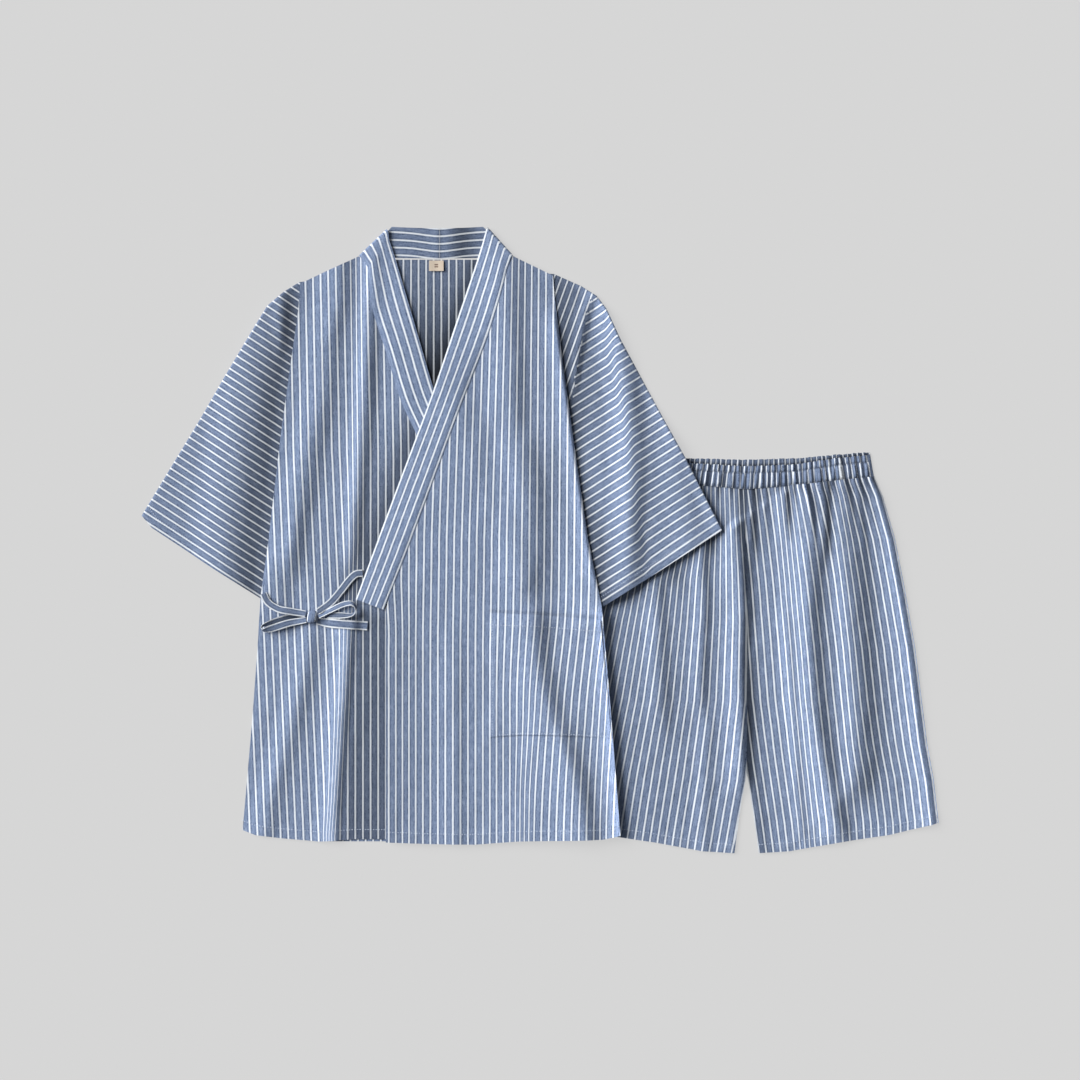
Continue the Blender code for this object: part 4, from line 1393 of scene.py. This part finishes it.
        steps = np.linalg.norm(np.diff(points, axis=0), axis=-1)
        run = np.concatenate([np.zeros((1, points.shape[1])), np.cumsum(steps, 0)])
        at_back = (1 - smooth(np.arange(len(points)), len(back_rows), len(back_rows) + 8))[:, None]
        width = inner * self.collar_wide
        from_middle = np.abs(points[..., 0] - self.lay.centre_back)
        sag = 4.2 * np.exp(-(from_middle / 26) ** 2)
        start = self.collar_starts[0 if lower else 1]
        repeat = self.collar_repeats[0 if lower else 1]
        across = at_back * (width - 6.6 - sag) / 9.9 + (1 - at_back) * (width - start) / repeat
        thick = 0.95 * (1 - 0.45 * (2 * inner - 1) ** 8) * np.ones((len(points), 1))
        # painted shade on the back part of the collar, deepest in the crease at the centre back and beside the
        # front's collar edge, a little paler just beside the crease; on the lower collar's front part painted shade
        # near the crossing; the front parts a little paler up high
        crease = 0.22 * np.exp(-(from_middle / 2.6) ** 2) - 0.08 * np.exp(-((from_middle - 8) / 7) ** 2)
        lapel = 0.45 * np.exp(-((points[..., 0] + 96) / 17) ** 2)
        high = smooth(points[..., 1], 180, 330)
        crossing = 0.40 * (1 - smooth(points[..., 1], 20, 150)) - 0.12 * high if lower else -0.12
        shade = at_back * (0.27 + crease + lapel) + (1 - at_back) * crossing
        piece = shell(f"collar_{side}_cloth", points, Weave(across, run), self.cotton, thickness=thick, shade=shade)
        hand_over(piece, [f"collar_{side}"])

    def label(self) -> None:
        """The small woven tape under the neck seam."""
        left = self.label_x - self.label_wide / 2
        top = self.neck_seam - 1
        u, v = np.meshgrid(np.linspace(0, 1, 19), np.linspace(0, 1, 15))
        x = left + self.label_wide * u
        y = top - self.label_deep * v
        curl = 0.9 * v ** 2 + 0.25 * np.cos(2 * np.pi * u)
        points = np.stack([x, y, self.lay.back(x, y) + LAYER + 0.5 + curl], -1)
        weave = Weave(u, v * UNIT)
        piece = shell("label_tape_piece", points, weave, self.tape, thickness=0.5)
        hand_over(piece, ["label"])

    def build(self) -> None:
        """Builds the whole jacket."""
        self.back()
        self.sleeve("right")
        self.sleeve("left")
        self.front_under()
        self.front_over()
        self.collar("right")
        self.collar("left")
        self.label()


# ---------------------------------------------------------------- shorts


@dataclass(frozen=True)
class Fan:
    """How the lines of a leg spread: how many repeats lie between two of them."""

    inner: Edge
    outer: Edge
    count: float


@dataclass
class Shorts:
    """The shorts: two legs of a front and a back each, and a gathered waistband."""

    lay: Lay
    cotton: bpy.types.Material
    thread: bpy.types.Material
    dark_thread: bpy.types.Material
    centre: float = 254.5
    waist: Edge = ((330, 68), (375, 73), (413, 77))
    side: Edge = (
        (413, 77), (423, 54), (438, 2), (450, -59), (463, -133), (478, -252), (486, -296), (492, -349),
    )
    hem: Edge = ((270, -386.5), (308, -384), (369, -373), (431, -364), (492, -349))
    inner: Edge = ((254.5, 62), (254.5, -191), (255, -286), (262, -328), (270, -386.5))
    band_low: Edge = ((96, 78), (134, 74), (179, 69), (254.5, 62.7), (330, 69), (375, 74), (412, 78))
    band_top_front: Edge = ((104, 102), (184, 95), (254, 91), (311, 93), (375, 102), (407, 105))
    band_top_back: Edge = ((104, 106), (182, 101), (254, 99), (319, 101), (398, 108), (407, 108))
    first_pinch: Edge = ((304, 120), (304, 43), (309, -74), (318, -198), (326, -321), (330, -400))
    second_pinch: Edge = ((368, 120), (372, 43), (378, -74), (384, -198), (390, -400))
    fans: dict = field(default_factory=lambda: {
        "left": Fan(((241, 62), (252, -49), (262.5, -198), (272, -272), (283, -346), (290, -400)), Shorts.side, 24.2),
        "right": Fan(((233, 80), (237, -49), (238, -99), (235, -198), (224, -296), (211, -372), (206, -400)),
                     ((158, 80), (149, 0), (134, -49), (125.6, -99), (109.7, -198), (90, -296), (79, -370)), -14),
    })
    hem_deep: float = 12.5
    gather_count: int = 19
    gather_painted_shade: float = 0.85
    gather_seed: int = 21
    header: float = 8.6  # from the band's top to its first row of stitches
    ruffles: int = 47
    band_wide: float = 311

    def legs(self) -> dict[str, Patch]:
        """The outline of each leg, named by the wearer's side."""
        half = SEAM / 2
        waist = ((self.centre, 62), *self.waist)
        left = Patch(shifted(waist, half), shifted(self.hem, half), shifted(self.inner, half), self.side)
        right = Patch(turned(left.top, self.centre)[::-1], turned(left.low, self.centre)[::-1],
                      turned(left.right, self.centre), turned(left.left, self.centre))
        return {"left": left, "right": right}

    def jacket_edge(self, y: np.ndarray) -> np.ndarray:
        """The x of the jacket's edge that lies on the shorts."""
        seam = np.maximum(x_on(self.lay.side_right, y), 96)
        sleeve = 70 + (y - self.lay.underarm) * 1.55
        return np.where(y > self.lay.underarm - 10, sleeve, seam)

    def hidden(self, x: np.ndarray, y: np.ndarray) -> np.ndarray:
        """1 where the jacket lies on the shorts, 0 where they show."""
        return 1 - smooth(x - self.jacket_edge(y), 0, 16)

    def painted_light_by_jacket(self, x: np.ndarray, y: np.ndarray) -> np.ndarray:
        """Painted shadow on the shorts beside the sleeve and under its cuff, a painted highlight beside the jacket's
        side below the sleeve, and painted shade in the leg next to it.
        """
        off = np.maximum(x - self.jacket_edge(y), 0)
        sleeve = smooth(y, -110, -80)
        near = 0.30 * sleeve * (1 - smooth(y, -60, 20)) * np.exp(-(off / 24) ** 2)
        # painted highlight beside the jacket's side below the sleeve, then painted shadow under the cuff
        near = near - 0.45 * (1 - sleeve) * np.exp(-(off / 12) ** 2)
        near = np.maximum(near, 0.50 * np.exp(-((x - 168) / 11) ** 2 - ((y + 44) / 22) ** 2))
        near = np.maximum(near, 0.60 * np.exp(-((x - 211) / 7) ** 2 - ((y + 6) / 15) ** 2))
        leg = 0.14 * np.exp(-((x - 150) / 55) ** 2) * (1 - smooth(y, -190, -110))
        return 1 - (1 - near) * (1 - leg)

    def spare(self, x: np.ndarray, y: np.ndarray) -> np.ndarray:
        """Cloth that the two long folds of the legs have swallowed left of a place."""
        first = 12.0 * pinched(self.first_pinch, 18, x, y)
        second = 5.6 * (1 - smooth(-y, 200, 330)) * pinched(self.second_pinch, 15, x, y)
        return first + second

    def gathers(self, across: np.ndarray, down: np.ndarray, seed: int) -> tuple[np.ndarray, np.ndarray]:
        """Small pleats that run down from the waistband's seam.

        Args:
            across: Distance across the leg at its waist.
            down: Distance below the seam.
            seed: Which draw of pleats.

        Returns:
            Their height, and the painted shade between them, as a share darker.
        """
        draw = np.random.default_rng(seed)
        total = np.zeros_like(across)
        crowd = np.zeros_like(across)
        span = 158.0
        for i in range(self.gather_count):
            place = span * (i + 0.15 + 0.7 * draw.random()) / self.gather_count
            wide = 2.1 + 1.3 * draw.random()
            tall = 2.2 + 2.2 * draw.random()
            reach = 20 + 90 * draw.random() ** 2
            lean = (draw.random() - 0.5) * 0.12
            off = (across - place - lean * down) / (wide * (1 + down / 60))
            ridge = np.exp(-off * off)
            total = total + tall * ridge * np.exp(-down / reach)
            crowd = crowd + ridge
        return total, self.gather_painted_shade * np.exp(-1.7 * crowd) * np.exp(-down / 52)

    def front_height(self, side: str, across: np.ndarray, down: np.ndarray, x: np.ndarray,
                     y: np.ndarray) -> np.ndarray:
        """Underside of a leg's front.

        Args:
            side: The wearer's side.
            across: Shares across the leg.
            down: Distance below the waistband's seam.
            x: Places across.
            y: Places up.

        Returns:
            The height.
        """
        free = 1 - self.hidden(x, y)
        rim = np.minimum(across, 1 - across) * 190
        edge = smooth((1 - across if side == "left" else across) * 190, 0, 9)
        folds = folded(self.lay.shorts_folds, x, y) * edge
        pleats, _ = self.gathers(across * 158, down, self.gather_seed + (side == "left"))
        rumple = self.lay.shorts_rumple.raised(x, y) * edge
        sink = 0.4 * (1 - smooth(rim, 0, 5))
        return LAYER + (folds + pleats * smooth(rim, 0, 5) + rumple + 0.3) * free - sink

    def leg(self, side: str, patch: Patch) -> None:
        """One leg: its front, its back and the stitches of its hem.

        Args:
            side: The wearer's side.
            patch: Its outline.
        """
        across = patch.marks(184, patch.top, patch.low)
        down = patch.marks(170, patch.left, patch.right)
        x, y = patch.grid(across, down)
        below = np.linalg.norm(np.stack([x - x[:1], y - y[:1]], -1), axis=-1)
        shares = np.broadcast_to(across, x.shape)
        from_hem = np.linalg.norm(np.stack([x - x[-1:], y - y[-1:]], -1), axis=-1)
        step = 1 - smooth(from_hem, self.hem_deep, self.hem_deep + 1.6)
        pucker = 0.18 * np.sin(x * 0.8 + 2 * np.sin(x * 0.19)) * np.exp(-((from_hem - self.hem_deep) / 5) ** 2)
        height = self.front_height(side, shares, below, x, y) + (0.42 * step + pucker) * (1 - self.hidden(x, y))
        points = np.stack([x, y, height + WALL / 2], -1)
        points[0] += (0, 1.5, -0.8)
        if side == "right":
            points[:, -1] += (1.1, 0, -0.5)
        folds = self.lay.shorts_folds
        fan = self.fans[side]
        starts = x_on(fan.inner, y)
        ends = x_on(fan.outer, y)
        spare = self.spare(x, y) - self.spare(starts, y)
        whole = self.spare(ends, y) - self.spare(starts, y)
        run = (x - starts + spare) / (ends - starts + whole)
        sway = 0.14 * np.sin(shares * 40 + 3 * np.sin(shares * 11)) * np.exp(-below / 45)
        weave = Weave(run * fan.count + sway, below)
        # painted light on the leg: the folds' painted shade and highlights, painted shadow by the jacket and painted
        # shade between the gathers
        painted_light = 1 - (1 - shaded(folds, x, y)) * (1 - self.painted_light_by_jacket(x, y))
        if side == "left":
            # painted shade at the crotch and a painted highlight along the side edge
            crotch = 0.42 * np.exp(-((x - x_on(self.inner, y) - 6) / 13) ** 2) * smooth(-y, 120, 200)
            rolled = 0.36 * np.exp(-((x_on(self.side, y) - x) / 9) ** 2)
            painted_light = 1 - (1 - painted_light) * (1 - crotch) * (1 + rolled)
        painted_light = 1 - (1 - painted_light) * (1 - self.gathers(shares * 158, below, self.gather_seed + (side == "left"))[1])
        front = shell(f"shorts_front_{side}_cloth", points, weave, self.cotton, shade=painted_light)
        hand_over(front, [f"shorts_front_{side}"])
        row = int(np.argmin(np.abs(from_hem[:, 10] - (self.hem_deep - 1.2))))
        lines = [points[row, 2:-2] + (0, 0, CLOTH / 2)]
        stitches = StitchRow(seed=15).sew(f"hem_stitches_shorts_{side}", lines, self.thread)
        hand_over(stitches, [])
        coarse_x, coarse_y = patch.grid(patch.marks(26, patch.top, patch.low),
                                        patch.marks(44, patch.left, patch.right))
        flat = np.stack([coarse_x, coarse_y, np.full_like(coarse_x, WALL / 2)], -1)
        back_weave = Weave((coarse_x - self.centre) / REPEAT, coarse_y)
        back = shell(f"shorts_back_{side}_cloth", flat, back_weave, self.cotton)
        hand_over(back, [f"shorts_back_{side}"])

    def waistband(self) -> None:
        """The waistband: a ring of cloth drawn up by elastic into small uneven gathers."""
        bands = [Patch(top, self.band_low, (top[0], self.band_low[0]), (top[-1], self.band_low[-1]))
                 for top in (self.band_top_front, self.band_top_back)]
        across = bands[0].marks(300, bands[0].top, bands[0].low, roll=0.008)
        down = np.linspace(0, 1, 25)
        draw = np.random.default_rng(self.gather_seed)
        places = np.cumsum(0.6 + 0.8 * draw.random(self.ruffles))
        places = places / places[-1] * self.band_wide
        tall = 1.8 + 1.5 * draw.random(self.ruffles)
        lean = (draw.random(self.ruffles) - 0.5) * 5
        jump = (draw.random(self.ruffles) - 0.5) * 3
        layers = []
        shades = []
        depths = []
        for patch, is_front in zip(bands, (True, False)):
            x, y = patch.grid(across, down)
            depth = np.linalg.norm(np.stack([x - x[:1], y - y[:1]], -1), axis=-1)
            at = np.broadcast_to(across, x.shape) * self.band_wide
            ruffle = np.zeros_like(x)
            crowd = np.zeros_like(x)
            for place, high, slant, shift in zip(places, tall, lean, jump):
                middle = place + slant * (depth / 30 - 0.5) + shift * smooth(depth, self.header - 2, self.header + 2)
                ridge = np.exp(-((at - middle) / 2.0) ** 2)
                ruffle = ruffle + high * ridge
                crowd = crowd + ridge
            groove = np.exp(-((depth - self.header) / 1.4) ** 2)
            foot = np.exp(-((depth - depth[-1:]) / 2.4) ** 2)
            pinch = np.clip(groove + foot, 0, 1)
            swell = np.clip((depth - self.header) / (depth[-1:] - self.header), 0, 1)
            puff = 1.0 * np.sin(np.pi * swell)
            rim = np.minimum(across, 1 - across)[None] * self.band_wide
            edge = smooth(rim, 0, 5)
            free = smooth(x, 172, 190)
            # painted shade between the ruffles; on the front layer also along the stitched groove and at its foot
            valley = 0.60 * np.exp(-1.5 * crowd)
            if is_front:
                z = LAYER + (ruffle * (1 - 0.7 * pinch) + puff) * free * edge - 0.3 * (1 - edge)
                y = y + (0.35 * (ruffle - 1.4)) * (1 - smooth(depth, 0, 5)) * edge
                shades.append(1 - (1 - valley) * (1 - 0.40 * groove) * (1 - 0.35 * foot))
            else:
                z = 0.35 * ruffle * free * edge
                y = y + 0.25 * (ruffle - 1.4) * (1 - smooth(depth, 0, 4)) * edge
                front_top = np.interp(x, *np.array(self.band_top_front).T)
                # painted shadow under the front layer's top edge, over painted shade on the whole back layer
                gap = 0.75 * np.exp(-(np.maximum(y - front_top, 0) / 2.8) ** 2)
                shades.append(1 - (1 - 0.30) * (1 - 0.6 * valley) * (1 - gap))
            layers.append(np.stack([x, y, z + WALL / 2], -1))
            depths.append(depth)
        points = np.concatenate([layers[0], layers[1][:, ::-1]], 1)
        share = np.concatenate([across, across[::-1]])[None]
        sway = np.sin(share * 95 + 2 * np.sin(share * 37)) * 1.3
        depth_ring = np.concatenate([depths[0], depths[1][:, ::-1]], 1)
        wander = 1.6 * np.sin(share * 140) * (depth_ring / 30)
        split = 1.8 * np.sin(share * 61) * smooth(depth_ring, self.header - 1, self.header + 1)
        weave = Weave((share * 440 + sway + wander + split) / REPEAT, depth_ring)
        weave.across[:, across.size:] += 0.45
        shade = np.concatenate([shades[0], shades[1][:, ::-1]], 1)
        depth = depths[0]
        piece = shell("waistband_cloth", points, weave, self.cotton, ring=True, shade=shade)
        hand_over(piece, ["waistband"])
        front = layers[0]
        shown = (front[0, :, 0] > 186) & (front[0, :, 0] < 404)
        row = int(np.argmin(np.abs(depth[:, 150] - self.header)))
        lines = [front[row][shown] + (0, 0, CLOTH / 2)]
        row = StitchRow(pitch=2.9, length=2.1, thickness=0.5, seed=18)
        stitches = row.sew("waistband_stitches", lines, self.dark_thread)
        hand_over(stitches, [])

    def build(self) -> None:
        """Builds the shorts."""
        for side, patch in self.legs().items():
            self.leg(side, patch)
        self.waistband()


# ---------------------------------------------------------------- bow


@dataclass
class Bow:
    """The two ties and the bow they make at the wearer's right side.

    A row of a tie is its middle (x, y), how far it lies over the front, its lean in degrees and its width.
    """

    lay: Lay
    cotton: bpy.types.Material
    thick: float = 1.0
    repeat: float = 9.0
    side_tie: tuple = (
        (-341, -66, 1.2, 10, 9), (-335, -77, 2.2, 20, 9), (-322, -85, 4.2, 20, 9), (-307, -88, 6.2, 10, 9),
        (-289, -91, 7.2, 0, 8),
    )
    front_tie: tuple = (
        (-219, -41, 1.0, 0, 9), (-227, -42, 1.6, 0, 9), (-235, -49, 2.2, 0, 9), (-246, -63, 3.0, 0, 9),
        (-258, -77, 4.4, 0, 9), (-273, -88, 7.6, 0, 8),
    )
    tail: tuple = (
        (-274.5, -100, 1.6, 0, 8), (-262, -102, 1.0, 0, 11), (-240, -104, 1.0, 0, 11), (-213, -106, 1.0, 0, 11),
    )
    loop_left: tuple = (
        (-288.5, -98.5, 3.4, 0, 7.5), (-310, -102.5, 3.0, 0, 9), (-331, -109, 2.8, 20, 9), (-341, -111, 2.6, 60, 7),
        (-342, -106, 2.0, 110, 6), (-330, -101.5, 1.0, 150, 8), (-312, -96, 0.8, 160, 8.5), (-292, -93, 0.8, 165, 7),
    )
    loop_right: tuple = (
        (-273, -94, 5.6, 20, 6), (-258, -86.5, 5.0, 15, 6.5), (-243, -79.5, 4.6, 15, 7), (-232, -78, 4.0, 40, 7),
        (-227, -84, 3.0, 75, 7), (-231, -92, 1.6, 120, 6.5), (-246, -93, 1.0, 155, 8.5), (-262, -93, 1.0, 165, 7),
    )
    # painted shade on each ribbon at its start and at its end, darkest towards the loops' ends inside the bow
    dim: dict = field(default_factory=lambda: {
        "tie_side": (0.22, 0.16), "tie_front": (0.20, 0.26), "bow_tail": (0.25, 0.10), "bow_loop_left": (0.05, 0.70),
        "bow_loop_right": (0.0, 0.55),
    })
    knot_middle: tuple = (-281.2, -94.5)
    knot_size: tuple = (11.0, 16.0, 8.5)
    knot_over: float = 1.4

    def floor(self, x: np.ndarray, y: np.ndarray, reach: np.ndarray) -> np.ndarray:
        """The highest that the front stands within reach of a place."""
        steps = np.array([-1, -0.5, 0, 0.5, 1])
        dx, dy = np.meshgrid(steps, steps)
        near_x = x[:, None] + dx.reshape(1, -1) * reach[:, None]
        near_y = y[:, None] + dy.reshape(1, -1) * reach[:, None]
        return self.lay.front_under(near_x, near_y).max(1) + WALL

    def ribbon(self, name: str, rows: tuple, phase: float) -> None:
        """One stretch of a tie: a narrow tube pressed flat, with a white line along its edges.

        Args:
            name: The piece's name.
            rows: Its table.
            phase: Where the white lines lie across it, in repeats.
        """
        table = eased_rows(rows, 10)
        x, y, over, lean_angle, width = table.T
        forward = np.gradient(np.stack([x, y], -1), axis=0)
        forward /= np.maximum(np.linalg.norm(forward, axis=1, keepdims=True), 1e-6)
        lean = np.radians(lean_angle)
        side = np.stack([forward[:, 1] * np.cos(lean), -forward[:, 0] * np.cos(lean), np.sin(lean)], -1)
        rise = np.abs(np.sin(lean)) * width / 2
        middle = np.stack([x, y, self.floor(x, y, width / 2) + over + rise], -1)
        shares = np.linspace(-0.5, 0.5, 11)
        points = middle[:, None] + side[:, None] * (shares[None, :, None] * width[:, None, None])
        steps = np.linalg.norm(np.diff(middle, axis=0), axis=1)
        length = np.concatenate([[0], np.cumsum(steps)])[:, None] * np.ones((1, shares.size))
        across = (shares * 1.16 + 0.5)[None] * np.ones((len(x), 1)) + phase
        thick = self.thick * (1 - 0.5 * (2 * shares) ** 6)[None] * np.ones((len(x), 1))
        # painted shade along the ribbon
        shade = self.dim[name][0] + (self.dim[name][1] - self.dim[name][0]) * np.linspace(0, 1, len(x)) ** 1.5
        shade = shade[:, None] * np.ones((1, shares.size))
        piece = shell(f"{name}_ribbon", points, Weave(across, length), self.cotton, thickness=thick, shade=shade)
        hand_over(piece, [name])

    def knot(self) -> None:
        """The knot: ribbon wound once round, pinched in the middle."""
        x, y = self.knot_middle
        wide, long, high = self.knot_size
        floor = float(self.floor(np.array([x]), np.array([y]), np.array([wide / 2]))[0]) + self.knot_over
        around = np.linspace(0, 2 * np.pi, 41)[:-1]
        over = np.linspace(-0.5 * np.pi, 0.5 * np.pi, 25)
        theta, phi = np.meshgrid(around, over)

        def rounded(value: np.ndarray, power: float) -> np.ndarray:
            """A sine or cosine pressed towards a box."""
            return np.sign(value) * np.abs(value) ** power

        shape_x = rounded(np.sin(phi), 0.75)
        ring = rounded(np.cos(phi), 0.45)
        crease = 1 - 0.07 * np.exp(-((np.sin(phi) - 0.25) / 0.09) ** 2)
        shape_y = ring * rounded(np.cos(theta), 0.75) * crease
        shape_z = ring * rounded(np.sin(theta), 0.75) * crease
        turn = 0.16
        px = x + shape_x * wide / 2 + shape_y * turn * long / 2
        py = y + shape_y * long / 2 * 0.97
        pz = floor + high / 2 + shape_z * high / 2
        points = np.stack([px, py, pz], -1).reshape(-1, 3)
        rows, columns = theta.shape
        number = np.arange(rows * columns).reshape(rows, columns)
        number = np.concatenate([number, number[:, :1]], 1)
        inner = number[1:-1]
        quads = np.stack([inner[:-1, :-1], inner[:-1, 1:], inner[1:, 1:], inner[1:, :-1]], -1).reshape(-1, 4)
        caps = []
        for row in (inner[0], inner[-1][::-1]):
            loop = row[:-1]
            half = columns // 2
            caps += [(loop[i], loop[i + 1], loop[columns - 2 - i], loop[columns - 1 - i]) for i in range(half - 1)]
        faces = np.concatenate([quads, np.array(caps)[:, ::-1]])
        used, faces = np.unique(faces, return_inverse=True)
        faces = faces.reshape(-1, 4)
        places = np.stack([np.sin(phi) * 0.56 + 0.5, theta * 0.6], -1).reshape(-1, 2)[used]
        piece = add_piece("bow_knot_ribbon", points[used], faces, places[faces], self.cotton)
        hand_over(piece, ["bow_knot"])

    def build(self) -> None:
        """Builds the ties and the bow."""
        self.ribbon("tie_side", self.side_tie, 0.03)
        self.ribbon("tie_front", self.front_tie, 0.0)
        self.ribbon("bow_tail", self.tail, 0.0)
        self.ribbon("bow_loop_left", self.loop_left, 0.0)
        self.ribbon("bow_loop_right", self.loop_right, 0.0)
        self.knot()


# ---------------------------------------------------------------- studio


@dataclass
class Studio:
    """A plain pale surface, soft daylight from the left, and a camera straight above."""

    frame_width: float = 1333.8
    lens: float = 100.0
    sensor: float = 36.0
    paper_size: float = 12.0
    key_strength: float = 4.86
    key_height: float = 34.0
    key_from: float = 158.0  # turn of the light round the set, from +X
    key_soft: float = 42.0
    fill: float = 0.15

    def paper(self, material: bpy.types.Material) -> None:
        """The surface that the set lies on."""
        half = self.paper_size / 2
        corners = [(-half, -half, 0), (half, -half, 0), (half, half, 0), (-half, half, 0)]
        mesh = bpy.data.meshes.new("paper")
        mesh.from_pydata([(x, y, -0.0004) for x, y, _ in corners], [], [(0, 1, 2, 3)])
        mesh.materials.append(material)
        floor = bpy.data.objects.new("paper", mesh)
        bpy.context.scene.collection.objects.link(floor)

    def light(self) -> None:
        """A large soft key from the upper left and an even fill all round."""
        scene = bpy.context.scene
        world = bpy.data.worlds.new("studio")
        world.use_nodes = True
        background = world.node_tree.nodes["Background"]
        background.inputs["Color"].default_value = (0.97, 0.985, 1.0, 1)
        background.inputs["Strength"].default_value = self.fill
        scene.world = world
        key = bpy.data.lights.new("key", "SUN")
        key.energy = self.key_strength
        key.angle = math.radians(self.key_soft)
        key.color = (1.0, 0.995, 0.985)
        lamp = bpy.data.objects.new("key", key)
        lamp.rotation_mode = "XYZ"
        tilt = math.radians(90 - self.key_height)
        lamp.rotation_euler = (0, tilt, math.radians(self.key_from))
        scene.collection.objects.link(lamp)
        scene.view_settings.view_transform = "Standard"

    def camera(self) -> None:
        """A long lens straight above the middle of the layout."""
        data = bpy.data.cameras.new("camera")
        data.lens = self.lens
        data.sensor_width = self.sensor
        data.clip_end = 50
        eye = bpy.data.objects.new("camera", data)
        eye.location = (0, 0, self.frame_width * MM * self.lens / self.sensor)
        bpy.context.scene.collection.objects.link(eye)
        bpy.context.scene.camera = eye


def main() -> None:
    logging.basicConfig(level=logging.INFO, format="%(name)s %(message)s")
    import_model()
    cotton = StripedCotton().make()
    thread = SewingThread().make()
    lay = Lay()
    studio = Studio()
    studio.camera()
    studio.light()
    studio.paper(StudioPaper().make())
    dark_thread = SewingThread("waist_thread", (0.30, 0.38, 0.55, 1), (0.10, 0.15, 0.27, 1)).make()
    Shorts(lay, cotton, thread, dark_thread).build()
    Jacket(lay, cotton, thread, WovenTape().make()).build()
    Bow(lay, cotton).build()


if __name__ == "__main__":
    main()
